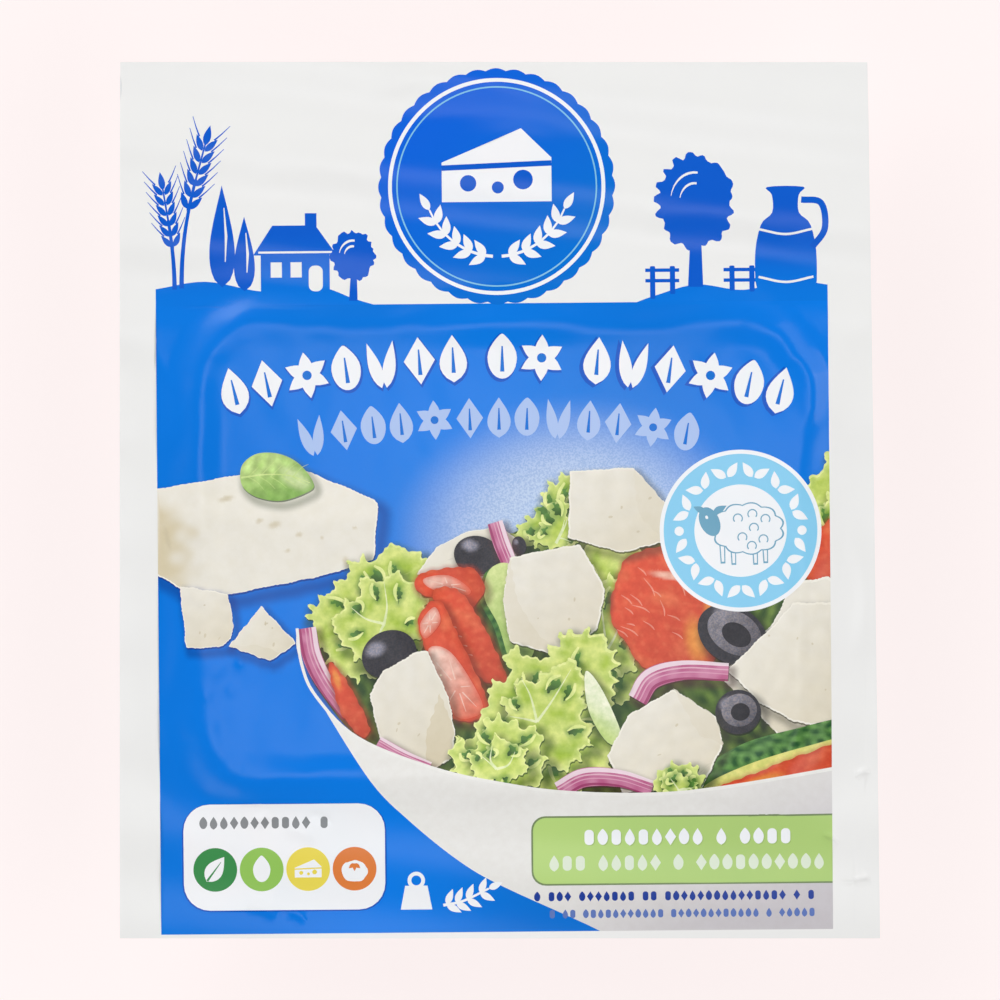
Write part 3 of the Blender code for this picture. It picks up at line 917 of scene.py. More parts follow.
# The salad in its bowl, back to front: each piece's function and what it is given
SALAD = (
    (green_piece,
     ((-34.2, -23.4), (-30.6, -21.0), (-20.0, -14.0), (-4.0, -8.5), (10.0, -3.0), (30.0, -3.0),
      (62.0, -4.0), (62.0, -52.0), (10.0, -53.0), (-10.0, -47.0), (-24.0, -40.8), (-31.0, -32.8),
      (-33.6, -27.6)),
     6, None, 0.0, mottle(srgb(50, 78, 36), srgb(112, 138, 62), 2.6, 3, 0.4, 0.45)),
    (lettuce,
     ((-33.2, -19.6), (-30.8, -15.6), (-27.6, -13.4), (-25.6, -9.6), (-21.4, -9.4), (-17.8, -7.6),
      (-13.4, -9.6), (-9.0, -14.0), (-8.0, -22.0), (-18.0, -28.0), (-26.0, -31.0), (-31.0, -26.0)),
     (-20.0, -21.0), 21),
    (lettuce,
     ((1.6, -7.0), (6.0, -1.6), (7.2, 2.0), (9.4, 3.6), (11.8, 4.4), (13.0, 0.0), (15.0, -6.0),
      (12.0, -10.0)),
     (9.5, -7.5), 22),
    (lettuce,
     ((50.6, -8.0), (52.6, -2.0), (53.6, 3.4), (57.0, 8.0), (61.0, 6.0), (62.0, -8.0), (60.0, -14.0),
      (53.0, -13.0)),
     (57.0, -11.0), 23),
    (lettuce,
     ((13.0, -12.0), (16.0, -6.6), (22.6, -6.8), (24.6, -14.0), (24.0, -23.0), (26.4, -29.0),
      (20.0, -35.0), (13.0, -33.0), (10.0, -24.0)),
     (18.0, -26.0), 24),
    (tomato,
     ((19.8, -14.0), (22.0, -9.8), (29.0, -8.0), (36.0, -9.0), (39.6, -16.0), (38.4, -25.0),
      (33.0, -29.8), (25.4, -29.6), (21.0, -24.2), (18.6, -19.6)),
     (), scattered(8, 15, (21.5, -26.0), (32.0, -13.0)), 31,
     ((33.4, -24.4, 2.6, 5.4, 10.0), (36.0, -19.0, 1.8, 3.2, 0.0))),
    (gleam, srgb(246, 196, 176), 29.0, -13.2, 4.6, 0.9, -8.0, 0.95),
    (tomato,
     ((53.0, -9.0), (55.0, -5.0), (60.0, -3.0), (62.0, -16.0), (56.0, -18.0), (52.4, -14.0)), (), (),
     33),
    (chunk,
     ((12.0, 4.8), (22.8, 5.4), (28.8, -1.4), (28.0, -7.4), (20.8, -9.2), (11.6, -6.6)),
     ((((22.8, 5.4), (28.8, -1.4), (28.0, -7.2), (23.6, -2.6)), 0.3),), 41),
    (chunk,
     ((-14.4, -12.6), (-11.0, -8.0), (-5.4, -5.2), (0.4, -4.6), (3.4, -7.4), (2.0, -12.0),
      (-4.0, -14.6)),
     (), 42),
    (olive, -4.0, -9.4, 4.0, 3.3, -12.0, False),
    (olive, 3.2, -7.8, 1.2, 1.6, 12.0, False),
    (onion, ((-0.9, -3.8), (0.2, -7.4), (1.6, -11.0), (2.9, -14.6)), 2.6, 51),
    (green_piece,
     ((-2.6, -12.4), (1.0, -11.6), (4.4, -17.0), (5.0, -26.0), (1.4, -29.4), (-1.2, -22.0),
      (-3.6, -17.0)),
     6, srgb(38, 62, 30), 1.5, mottle(srgb(46, 92, 50), srgb(96, 144, 72), 1.6, 63),
     fade(srgb(214, 226, 158), srgb(172, 200, 116), (-2.0, -12.0), (2.0, -28.0))),
    (chunk,
     ((1.6, -9.8), (13.6, -7.6), (17.9, -15.4), (16.6, -22.0), (10.2, -26.9), (1.4, -24.2),
      (0.4, -17.0)),
     ((((1.6, -9.8), (0.4, -17.0), (1.4, -24.0), (10.2, -26.7), (6.0, -22.6), (2.8, -17.2)), 0.3),),
     43),
    (tomato,
     ((-14.6, -13.2), (-11.0, -11.8), (-5.0, -11.6), (-2.8, -14.8), (-5.0, -18.4), (-9.0, -17.0),
      (-13.6, -16.0)),
     (((-13.2, -13.4), (-9.0, -12.8), (-5.4, -15.0), (-6.0, -16.2), (-11.6, -15.2)),), (), 37),
    (tomato,
     ((-11.6, -16.4), (-7.6, -15.2), (-3.6, -20.4), (0.6, -29.4), (0.2, -31.6), (-2.8, -31.0),
      (-5.2, -28.0)),
     (), [(-9.4 + 0.9 * k, -18.6 - 1.6 * k, 0.8, 70.0) for k in range(6)], 34),
    (tomato,
     ((-14.2, -21.0), (-12.4, -17.6), (-10.0, -17.6), (-7.6, -22.6), (-2.2, -34.8), (-3.4, -37.4),
      (-9.0, -36.8), (-12.0, -28.0)),
     (((-13.8, -21.0), (-11.4, -18.2), (-10.4, -20.8), (-13.0, -23.6)),
      ((-12.6, -26.0), (-8.6, -26.0), (-3.4, -34.4), (-4.6, -37.0), (-8.6, -36.2))),
     (), 38),
    (olive, -19.2, -26.2, 4.8, 4.0, 24.0, False),
    (chunk,
     ((-22.6, -33.0), (-20.2, -29.0), (-14.8, -26.0), (-12.6, -25.6), (-9.0, -34.0), (-8.0, -40.0),
      (-8.6, -44.0), (-14.0, -47.4), (-20.4, -43.4)),
     ((((-10.6, -33.0), (-8.2, -39.0), (-8.8, -44.0), (-13.0, -46.6), (-13.0, -40.0)), 0.8),), 44),
    (onion, ((-33.2, -21.6), (-32.4, -26.4), (-30.0, -31.4), (-26.2, -36.6)), 3.0, 52),
    (tomato,
     ((-29.6, -28.0), (-28.0, -28.6), (-25.0, -33.4), (-22.6, -39.0), (-24.2, -40.2), (-27.6, -36.0)),
     (), (), 35, ((-28.2, -30.4, 0.8, 2.4, 16.0),)),
    (chunk,
     ((38.2, -31.4), (38.6, -29.0), (46.6, -21.4), (50.0, -14.6), (56.0, -13.6), (60.0, -16.0),
      (60.0, -42.0), (48.0, -41.4), (43.0, -36.0)),
     ((((38.2, -31.4), (43.0, -36.0), (48.0, -41.2), (50.0, -40.0), (45.0, -34.0)), 0.4),), 45),
    (olive, 39.6, -23.4, 6.4, 4.8, -32.0, True),
    (chunk,
     ((38.6, -29.4), (46.8, -21.6), (50.0, -18.0), (60.0, -18.0), (60.0, -40.0), (50.0, -38.4),
      (44.0, -35.0)),
     (), 47),
    (onion, ((23.2, -34.4), (25.6, -30.8), (31.0, -29.4), (38.8, -29.8)), 3.4, 53),
    (lettuce,
     ((1.6, -25.4), (6.4, -26.4), (10.6, -23.0), (15.0, -22.2), (19.8, -27.4), (18.6, -35.0),
      (21.0, -42.0), (14.0, -50.0), (2.0, -50.0), (-8.6, -46.4), (-8.4, -41.4), (-3.6, -38.0),
      (-3.4, -33.0), (0.0, -30.0)),
     (6.0, -38.0), 25, 1.0, 1.0),
    (lettuce,
     ((-8.6, -46.4), (-8.0, -41.2), (-4.2, -42.0), (-2.6, -37.0), (2.6, -37.6), (6.4, -40.6),
      (7.0, -47.0), (1.0, -51.0), (-5.0, -50.0)),
     (-1.0, -46.0), 26, 1.06),
    (green_piece,
     ((14.4, -29.4), (17.4, -33.0), (20.6, -41.0), (18.0, -41.6), (14.8, -36.0)), 6, srgb(38, 62, 30),
     1.6, fade(srgb(244, 246, 226), srgb(198, 218, 140), (17.0, -34.0), (14.0, -38.0))),
    (olive, 40.4, -36.6, 3.9, 3.8, 10.0, True),
    (green_piece,
     ((32.0, -48.6), (40.0, -42.6), (50.0, -39.6), (60.0, -38.0), (60.0, -44.0), (44.0, -48.6),
      (34.0, -51.6)),
     7, srgb(26, 52, 28), 1.6, mottle(srgb(38, 84, 48), srgb(110, 158, 88), 1.5, 62)),
    (green_piece,
     ((34.6, -49.2), (42.0, -45.6), (52.0, -42.6), (60.0, -41.2), (60.0, -46.0), (44.0, -50.0),
      (36.0, -51.6)),
     7, None, 0.0, srgb(232, 224, 140)),
    (tomato,
     ((36.4, -50.2), (44.0, -46.8), (52.0, -43.8), (60.0, -42.4), (60.0, -54.0), (44.0, -54.0)), (), (),
     36, ((44.0, -48.8, 6.0, 1.6, 20.0),)),
    (chunk,
     ((18.0, -43.8), (21.6, -37.0), (29.4, -32.6), (36.6, -37.4), (37.8, -42.2), (34.0, -49.8),
      (20.4, -50.2)),
     ((((29.4, -32.6), (36.6, -37.4), (37.8, -42.2), (33.6, -40.4)), 0.3),), 46),
    (onion, ((9.6, -49.8), (14.0, -47.6), (20.0, -47.8), (25.6, -49.6)), 3.0, 54),
    (onion, ((-21.2, -41.2), (-17.0, -43.6), (-12.4, -45.6)), 2.0, 55),
    (lettuce,
     ((26.0, -50.0), (27.4, -45.6), (31.0, -45.0), (34.6, -47.4), (34.0, -51.6), (29.0, -53.0)),
     (30.0, -50.0), 28, 1.0, 0.6),
)


def print_salad(page, ink):
    """Salad in its bowl: leaves, tomato, olives, onion and pieces of cheese."""
    for piece, *details in SALAD:
        piece(page, ink, *details)


def print_bowl(page, ink):
    """The bowl's wall, in front of the salad."""
    rim = curve(((-34.9, -21.4), (-34.2, -27.4), (-31.8, -33.0), (-24.7, -40.2), (-11.5, -45.6),
                 (0.1, -48.3), (10.3, -49.8), (24.0, -50.3), (36.5, -49.4), (60.0, -45.7)),
                7, False)
    wall = curve(((-34.9, -21.4), (-35.0, -25.0), (-33.6, -29.4), (-31.0, -34.4), (-22.6, -47.9),
                  (-16.0, -54.8), (-7.6, -61.7), (0.0, -66.2), (16.4, -73.9), (18.0, -76.0)),
                 6, False)
    around = np.concatenate((wall, ((60.0, -76.0),), rim[::-1][:-1]))
    colour = lambda x, y: mixed(
        mixed(ink.bowl, tinted(ink.bowl, 1.04), ease((y + 62.0) / 12.0)),
        ink.bowl_shade, ease((x * 0.55 - y - 64.0) / 34.0))
    page.add("picture", colour, around)
    page.add("picture", tinted(ink.bowl, 1.08), band(rim + (0.0, -0.25), 0.5, 0.6))


def print_roundel(page, ink):
    """A round mark: sky-blue ring with leaves and dots, and a woolly sheep inside it."""
    x, y = 41.1, -5.6
    page.mark(ink.white, oval(x, y, 13.85, steps=110))
    page.mark(ink.sky, oval(x, y, 13.15, steps=110), oval(x, y, 7.9, steps=80))
    for k in range(26):
        angle = 360.0 * (k + 0.5) / 26
        spot = moved(((0.0, 10.5),), x, y, angle)[0]
        if k in (6, 19):
            page.mark(ink.white, oval(*spot, 0.8, steps=20))
            continue
        lean = angle + (40.0 if k % 2 else -40.0)
        page.mark(ink.white, moved(moved(leaf_shape(3.0, 1.5, 8), 0, -1.5), *spot, lean))
    line, size = tinted(ink.sky, 0.6), 1.24

    def sheep(colour, points):
        page.mark(colour, moved(points, x + 0.3, y + 0.1, 0.0, size))

    for leg, foot in ((-2.8, -4.6), (-1.3, -4.8), (1.7, -4.8), (3.1, -4.6)):
        sheep(line, band(((leg, -1.6), (leg + 0.1, foot)), 0.85, 0.65))
        sheep(ink.white, band(((leg, -1.6), (leg + 0.1, foot + 0.25)), 0.5, 0.35))
    angles = np.linspace(0.0, math.tau, 150, endpoint=False)
    puffs = 1.0 + 0.11 * abs(np.sin(5.5 * angles))
    wool = np.stack((4.7 * puffs * np.cos(angles) + 0.7, 3.3 * puffs * np.sin(angles) + 0.2), axis=1)
    sheep(line, wool)
    sheep(ink.white, (wool - (0.7, 0.2)) * 0.95 + (0.7, 0.2))
    for cx, cy in ((-0.6, 1.6), (1.6, 0.3), (3.2, 1.5), (0.0, -1.0), (2.9, -1.3), (1.4, 2.2), (1.3, -2.2)):
        curl = [(cx + 0.62 * math.cos(a), cy + 0.62 * math.sin(a)) for a in np.linspace(-0.7, 3.9, 12)]
        sheep(line, band(curl, 0.17))
    sheep(line, oval(-4.5, 1.2, 1.35, 2.1, 24.0, 30))
    sheep(ink.white, oval(-4.9, 1.8, 0.2, 0.26, 24.0, 12))
    sheep(line, moved(leaf_shape(2.1, 1.0, 7), -4.0, 2.4, -62.0))
    sheep(line, moved(leaf_shape(1.9, 0.9, 7), -5.0, 2.5, 66.0))


def print_panel(page, ink):
    """A white panel with four round marks of what goes with the cheese."""
    page.mark(tinted(ink.deep_blue, 0.8), panel(-54.95, -70.15, -19.95, -51.65, 4.7))
    page.mark(ink.white, panel(-54.7, -69.9, -20.2, -51.7, 4.5))
    bead_row(page, srgb(138, 140, 142), -52.0, -28.6, -54.9, 2.2, 2)
    marks = (srgb(62, 142, 78), srgb(150, 198, 92), srgb(238, 218, 86), srgb(228, 128, 62))
    for k, colour in enumerate(marks):
        mx, my = -49.3 + 7.95 * k, -62.9
        page.mark(colour, oval(mx, my, 3.75, steps=48))
        if k == 0:
            page.mark(ink.white, moved(leaf_shape(5.2, 3.0, 10), mx - 1.5, my - 2.0, -36.0))
            page.mark(colour, band(((mx - 1.4, my - 1.9), (mx + 1.0, my + 1.3)), 0.4, 0.1))
        elif k == 1:
            page.mark(ink.white, moved(ornament("drop", 4.8)[0], mx, my))
        elif k == 2:
            wedge(page, ink.white, mx, my, 2.3, colour)
        else:
            page.mark(ink.white, uneven(oval(mx, my - 0.4, 2.2, 1.9, 0, 30), 0.08, 3.0, 3, 0.4))
            for turn in (-50, 0, 50):
                page.mark(colour, moved(leaf_shape(1.3, 0.7, 5), mx, my + 0.9, turn + 180))


def print_weight(page, ink):
    """A white weight and a sprig, beside the panel."""
    x, y = -14.9, -67.4
    page.mark(ink.white, ((x - 2.7, y - 2.6), (x + 2.7, y - 2.6), (x + 1.9, y + 1.5), (x - 1.9, y + 1.5)))
    page.mark(ink.white, oval(x, y + 2.4, 1.5, steps=26), oval(x, y + 2.4, 0.85, steps=22))
    stem = curve(((x + 4.6, y - 1.9), (x + 8.0, y - 1.2), (x + 12.4, y + 0.9)), 6, False)
    page.mark(ink.white, band(stem, 0.5, 0.35))
    for step in range(1, 12, 3):
        for lean in (-22.0, -118.0):
            page.mark(ink.white, moved(leaf_shape(2.9, 1.2, 7), *stem[step], lean))
    page.mark(ink.white, moved(leaf_shape(2.6, 1.2, 7), *stem[-1], -66.0))


def bead_row(page, colour, x0, x1, y, high, seed):
    """A row of small gems, leaves and dots between two places."""
    draw = np.random.default_rng(seed)
    x = x0
    while x < x1 - high * 0.5:
        kind = ("gem", "leaf", "pill", "drop")[draw.integers(4)]
        for shape in ornament(kind, high):
            page.mark(colour, moved(shape, x + high * 0.33, y))
        x += high * (0.80 if draw.random() < 0.84 else 1.4)


def print_label(page, ink):
    """A green label that runs off the field, and two rows of small marks below it."""
    page.mark(srgb(120, 140, 96), panel(4.85, -66.1, 70.0, -54.2, 2.4))
    page.mark(fade(tinted(ink.label, 1.05), tinted(ink.label, 0.97), (10.0, -54.0), (40.0, -66.0)),
              panel(5.15, -65.8, 70.0, -54.5, 2.2))
    bead_row(page, tinted(ink.label, 0.80), 13.95, 49.15, -58.05, 2.9, 5)
    bead_row(page, ink.white, 13.8, 49.0, -57.9, 2.9, 5)
    bead_row(page, mixed(ink.label, ink.white, 0.62), 7.8, 55.0, -62.3, 2.8, 6)
    bead_row(page, srgb(32, 62, 150), 5.2, 54.0, -68.0, 1.75, 7)
    bead_row(page, srgb(98, 122, 186), 7.8, 54.0, -71.0, 1.6, 8)


def draw_print(ink):
    """All layers of the print, lowest first."""
    page = Print(panel(*FIELD), ink.bare)
    for part in (print_header, print_field, print_emblem, print_block, print_salad, print_bowl,
                 print_titles, print_roundel, print_panel, print_weight, print_label):
        part(page, ink)
    return page


# The front film's mesh


def inside(points, loops):
    """Whether points lie inside loops, by the even-odd rule."""
    odd = np.zeros(len(points), bool)
    x, y = points[:, 0], points[:, 1]
    for loop in loops:
        for (x0, y0), (x1, y1) in zip(loop, np.roll(loop, -1, axis=0)):
            if y0 != y1:
                spans = (y0 > y) != (y1 > y)
                odd ^= spans & (x < (x1 - x0) * (y - y0) / (y1 - y0) + x0)
    return odd


def to_pack(points, turn):
    """Print millimetres to pack metres."""
    c, s = math.cos(turn), math.sin(turn)
    return points @ np.array(((c, s), (-s, c))) * MM


def to_print(points, turn):
    """Pack metres to print millimetres."""
    return to_pack(points, -turn) / MM / MM


def lattice(low, high, step):
    """Points of a triangular lattice in a box."""
    columns = np.arange(low[0] + step / 2, high[0], step)
    rows = np.arange(low[1] + step / 2, high[1], step * math.sqrt(0.75))
    x, y = np.meshgrid(columns, rows)
    x[::2] += step / 2
    return np.column_stack((x.ravel(), y.ravel()))


MERGE = 0.01  # points closer than this, in millimetres, become one
CLEAR_OF_RIM = 0.997  # inner points keep inside the cut outline made smaller by this


def planar_mesh(outline, filling, loops=(), lines=()):
    """Points and triangles that keep every loop and line, and the outline's points in order."""
    points = list(outline) + list(filling[inside(filling, [outline * CLEAR_OF_RIM])])
    count = len(outline)
    edges = [(k, (k + 1) % count) for k in range(count)]
    for closed, group in ((1, loops), (0, lines)):
        for loop in group:
            first, count = len(points), len(loop)
            points.extend(loop)
            edges += [(first + k, first + (k + 1) % count) for k in range(count - 1 + closed)]
    made = delaunay_2d_cdt([Vector(p / MM) for p in points], edges, [], 0, MERGE, True)
    places = np.array([tuple(p) for p in made[0]]) * MM
    rim = {old: new for new, olds in enumerate(made[3]) for old in olds if old < len(outline)}
    rim = [rim[k] for k in range(len(outline))]
    places[rim] = outline
    faces = np.array([f for f in made[2] if len(f) == 3])
    corners = places[faces]
    turned = np.cross(corners[:, 1] - corners[:, 0], corners[:, 2] - corners[:, 0])
    keep = inside(corners.mean(axis=1), [outline]) & (abs(turned) > 1e-14)
    faces = faces[keep]
    flipped = turned[keep] < 0
    faces[flipped] = faces[flipped][:, ::-1]
    return places, faces, rim


def crease_lines(film):
    """Lines along each crease narrower than the widest traced fold, and along each corner fan, which the
    mesh follows.
    """
    folds = [((x0 * MM, y0 * MM), (x1 * MM, y1 * MM), width * MM)
             for x0, y0, x1, y1, width, rise in CREASES if width < WIDEST_TRACED_FOLD]
    folds += [(start, end, width) for start, end, width, rise in corner_fans(film)]
    for start, end, width in folds:
        start, end = np.array(start), np.array(end)
        length = np.linalg.norm(end - start)
        across = np.array((end[1] - start[1], start[0] - end[0])) / length
        share = np.linspace(0.0, 1.0, max(4, int(length / (0.8 * MM))))[:, None]
        middle = start + (end - start) * share - across * FOLD_BEND * length * np.sin(math.pi * share)
        for offset in (-1.3, -0.65, 0.0, 0.65, 1.3):
            yield middle + across * offset * width


def fine_outline(film, step):
    """The cut outline with points at a spacing."""
    corners = cut_outline(film)
    points = []
    for start, end in zip(corners, np.roll(corners, -1, axis=0)):
        count = int(np.linalg.norm(end - start) / step)
        points += [start + (end - start) * k / count for k in range(count)]
    return np.array(points)


# The two boxes of the print, in millimetres, whose pictures have the finer mesh
PICTURED = ((-58.4, -28.6, -19.6, 9.0), (-35.0, -54.0, 56.3, 9.0))
CUT_MARGIN = 0.4 * MM
UNDERSIDE_STEP = 4.0 * MM
UNDERSIDE_MAP_SIZE, UNDERSIDE_MAP_PLACE = (0.11, 0.9), (0.88, 0.05)


def composed(page, ink, middles, corners):
    """Colours and grain at the corners of faces, and each face's finish, from all layers."""
    in_field = inside(middles, [page.field])
    colours = np.tile(np.array(ink.bare, float), (len(corners), 1))
    grains = np.zeros(len(corners))
    slots = np.zeros(len(middles), int)
    for finish, colour, loops, cover, grain, bleeds, soft in page.layers:
        low = np.min([loop.min(0) for loop in loops], axis=0)
        high = np.max([loop.max(0) for loop in loops], axis=0)
        near = np.flatnonzero(np.all((middles >= low) & (middles <= high), axis=1))
        hit = near[inside(middles[near], loops)]
        hit = hit[in_field[hit]] if bleeds else hit
        if not len(hit):
            continue
        mine = (hit[:, None] * 3 + np.arange(3)).reshape(-1)
        x, y = corners[mine].T
        share = np.clip(sampled(cover, x, y), 0.0, 1.0)[:, None]
        colours[mine] = colours[mine] * (1 - share) + sampled(colour, x, y) * share
        if finish is not None:
            slots[hit] = list(PICTURES).index(finish)
            grains[mine] = sampled(grain, x, y)
    return colours, grains, slots


def make_front_film(film, ink):
    """The printed film as one closed sheet: printed face, cut edge and a plain underside."""
    page = draw_print(ink)
    outline = fine_outline(film, film.mesh_step)
    low, high = outline.min(0) + CUT_MARGIN, outline.max(0) - CUT_MARGIN
    loops = [to_pack(page.field, ink.turn)]
    narrow = np.array((LOW.x + film.head_width, HIGH.y)) - CUT_MARGIN
    for *_, shapes, _, _, _, soft in page.layers:
        if not soft:
            loops += [np.clip(to_pack(shape, ink.turn), low, narrow) for shape in shapes]
    coarse = lattice(low, high, film.mesh_step)
    fine = lattice(low, high, film.picture_step)
    pictured = [[to_pack(panel(*box), ink.turn)] for box in PICTURED]
    coarse = coarse[~(inside(coarse, pictured[0]) | inside(coarse, pictured[1]))]
    fine = fine[inside(fine, pictured[0]) | inside(fine, pictured[1])]
    places, faces, rim = planar_mesh(outline, np.concatenate((coarse, fine)), loops, crease_lines(film))
    middles = to_print(places[faces].mean(axis=1), ink.turn)
    corners = to_print(places[faces.reshape(-1)], ink.turn)
    painted = composed(page, ink, middles, corners)
    height_of = lambda x, y: front_height(x, y, film)
    z = height_of(places[:, 0], places[:, 1])
    normals = normals_of(height_of, places[:, 0], places[:, 1])
    return sheet_object((places, faces, rim), z, normals, outline, film, ink.bare, *painted)


def sheet_object(face_side, z, normals, outline, film, bare, colours, grains, slots):
    """Build the printed film's mesh and give it its colours and its map."""
    places, faces, upper_rim = face_side
    under = lattice(outline.min(0), outline.max(0), UNDERSIDE_STEP)
    under_places, under_faces, lower_rim = planar_mesh(outline, under[inside(under, [outline])])
    under_z = front_height(under_places[:, 0], under_places[:, 1], film) - film.film
    count = len(places)
    points = np.concatenate((np.column_stack((places, z)), np.column_stack((under_places, under_z))))
    sides = []
    for k in range(len(outline)):
        a, b = upper_rim[k - 1], upper_rim[k]
        c, d = lower_rim[k] + count, lower_rim[k - 1] + count
        sides += [(a, d, b), (b, d, c)]
    all_faces = np.concatenate((faces, under_faces[:, ::-1] + count, np.array(sides)))
    mesh = bpy.data.meshes.new("printed_film")
    mesh.from_pydata([tuple(p) for p in points], [], [tuple(int(v) for v in f) for f in all_faces])
    mesh.update()
    corners = len(all_faces) * 3
    ink_layer = mesh.color_attributes.new("ink", "FLOAT_COLOR", "CORNER")
    rows = np.ones((corners, 4))
    rows[:, :3] = bare
    rows[: len(colours), :3] = colours
    ink_layer.data.foreach_set("color", rows.reshape(-1))
    grain_layer = mesh.attributes.new("grain", "FLOAT", "CORNER")
    grain_layer.data.foreach_set("value", np.concatenate((grains, np.zeros(corners - len(grains)))))
    all_slots = np.concatenate((slots, np.zeros(len(all_faces) - len(slots), int)))
    mesh.polygons.foreach_set("material_index", all_slots.astype(np.int32))
    map_layer = mesh.uv_layers.new(name="OFBake")
    flat = points[all_faces.reshape(-1)][:, :2] - (LOW.x, LOW.y)
    uv = flat / (HIGH.y - LOW.y)
    uv[len(colours):] = uv[len(colours):] * UNDERSIDE_MAP_SIZE + UNDERSIDE_MAP_PLACE
    map_layer.data.foreach_set("uv", uv.reshape(-1))
    mesh.shade_smooth()
    every = np.zeros((len(points), 3))
    every[:count] = normals
    every[count:] = (0.0, 0.0, -1.0)
    split = every[all_faces.reshape(-1)]
    split[(len(faces) + len(under_faces)) * 3:] = 0.0
    mesh.normals_split_custom_set([tuple(n) for n in split])
    piece = bpy.data.objects.new("printed_film", mesh)
    bpy.context.scene.collection.objects.link(piece)
    return piece


# Materials


def shader_of(name):
    """A new material's tree and its shader."""
    material = bpy.data.materials.new(name)
    material.use_nodes = True
    return material, material.node_tree, material.node_tree.nodes["Principled BSDF"]


def node(tree, kind, **values):
    """A node with some of its settings and inputs set by name."""
    made = tree.nodes.new(kind)
    for name, value in values.items():
        if hasattr(made, name):
            setattr(made, name, value)
        else:
            made.inputs[name.replace("_", " ")].default_value = value
    return made


def set_inputs(shader, **values):
    """Give inputs of a shader fixed values, by name."""
    for name, value in values.items():
        shader.inputs[name.replace("_", " ")].default_value = value


def mix_colours(tree, share, first, second, blend="MIX"):
    """Mix two colours by a share, each a socket or a value."""
    made = tree.nodes.new("ShaderNodeMix")
    made.data_type = "RGBA"
    made.blend_type = blend
    for socket, value in ((made.inputs[0], share), (made.inputs[6], first), (made.inputs[7], second)):
        if isinstance(value, bpy.types.NodeSocket):
            tree.links.new(value, socket)
        else:
            socket.default_value = value if isinstance(value, float) else (*value[:3], 1.0)
    return made.outputs[2]


def ranged(tree, socket, low, high, to_low=0.0, to_high=1.0):
    """Map a value from one range to another, clamped."""
    made = node(tree, "ShaderNodeMapRange", From_Min=low, From_Max=high, To_Min=to_low, To_Max=to_high)
    tree.links.new(socket, made.inputs["Value"])
    return made.outputs["Result"]


def noise(tree, place, scale, detail=2.0, rough=0.5):
    """Noise over object coordinates, with features per metre."""
    made = node(tree, "ShaderNodeTexNoise", Scale=scale, Detail=detail, Roughness=rough)
    tree.links.new(place, made.inputs["Vector"])
    return made.outputs["Fac"]


def bumped(tree, shader, place, layers):
    """Fine relief from layers of (scale, height in metres)."""
    total = None
    for scale, height in layers:
        value = ranged(tree, noise(tree, place, scale), 0.0, 1.0, 0.0, height)
        if total is None:
            total = value
            continue
        add = node(tree, "ShaderNodeMath", operation="ADD")
        tree.links.new(total, add.inputs[0])
        tree.links.new(value, add.inputs[1])
        total = add.outputs[0]
    bump = node(tree, "ShaderNodeBump", Strength=1.0, Distance=1.0)
    tree.links.new(total, bump.inputs["Height"])
    tree.links.new(bump.outputs["Normal"], shader.inputs["Normal"])
    tree.links.new(bump.outputs["Normal"], shader.inputs["Coat Normal"])


# How each finish of the print varies: noise per metre, darker and lighter tints and their shares
PICTURES = {
    "bare": (90.0, (0.985, 0.985, 0.99), (1.0, 1.0, 1.0), 0.6),
    "ink": (55.0, (0.90, 0.96, 0.985), (1.0, 1.0, 1.0), 0.5),
    "picture": (700.0, (0.94, 0.93, 0.92), (1.0, 1.0, 1.0), 0.6),
    "cheese": (420.0, (0.95, 0.94, 0.90), (1.0, 1.0, 1.0), 0.7),
    "leaf": (650.0, (0.74, 0.84, 0.60), (1.08, 1.06, 1.02), 0.85),
    "tomato": (520.0, (0.86, 0.74, 0.70), (1.04, 1.12, 1.12), 0.9),
    "olive": (900.0, (0.70, 0.70, 0.72), (1.25, 1.22, 1.25), 0.8),
}
DOTS_PER_METRE = 3300.0
# Fine relief as (noise per metre, height in metres)
FRONT_RELIEF = ((80.0, 0.00007), (420.0, 0.00001))
BACK_RELIEF = ((120.0, 0.00012), (600.0, 0.00001))


def film_material(finish):
    """Glossy clear film over ink. The ink's colour and grain come with the mesh."""
    scale, dark, light, share = PICTURES[finish]
    material, tree, shader = shader_of(f"printed film, {finish}")
    place = node(tree, "ShaderNodeTexCoord").outputs["Object"]
    ink = node(tree, "ShaderNodeAttribute", attribute_name="ink").outputs["Color"]
    patches = ranged(tree, noise(tree, place, scale, 3.0, 0.6), 0.32, 0.68)
    colour = mix_colours(tree, share, ink, mix_colours(
        tree, 1.0, ink, mix_colours(tree, patches, dark, light), "MULTIPLY"))
    grain = node(tree, "ShaderNodeAttribute", attribute_name="grain").outputs["Fac"]
    dots = ranged(tree, noise(tree, place, DOTS_PER_METRE, 1.0), 0.42, 0.58)
    speckle = mix_colours(tree, dots, (0.70, 0.80, 0.93), (1.12, 1.10, 1.06))
    speckle = mix_colours(tree, 1.0, colour, speckle, "MULTIPLY")
    colour = mix_colours(tree, grain, colour, speckle)
    tree.links.new(colour, shader.inputs["Base Color"])
    set_inputs(shader, Roughness=0.42, Specular_IOR_Level=0.04, Coat_Weight=0.85,
               Coat_Roughness=0.18, Coat_IOR=1.45)
    bumped(tree, shader, place, FRONT_RELIEF)
    return material


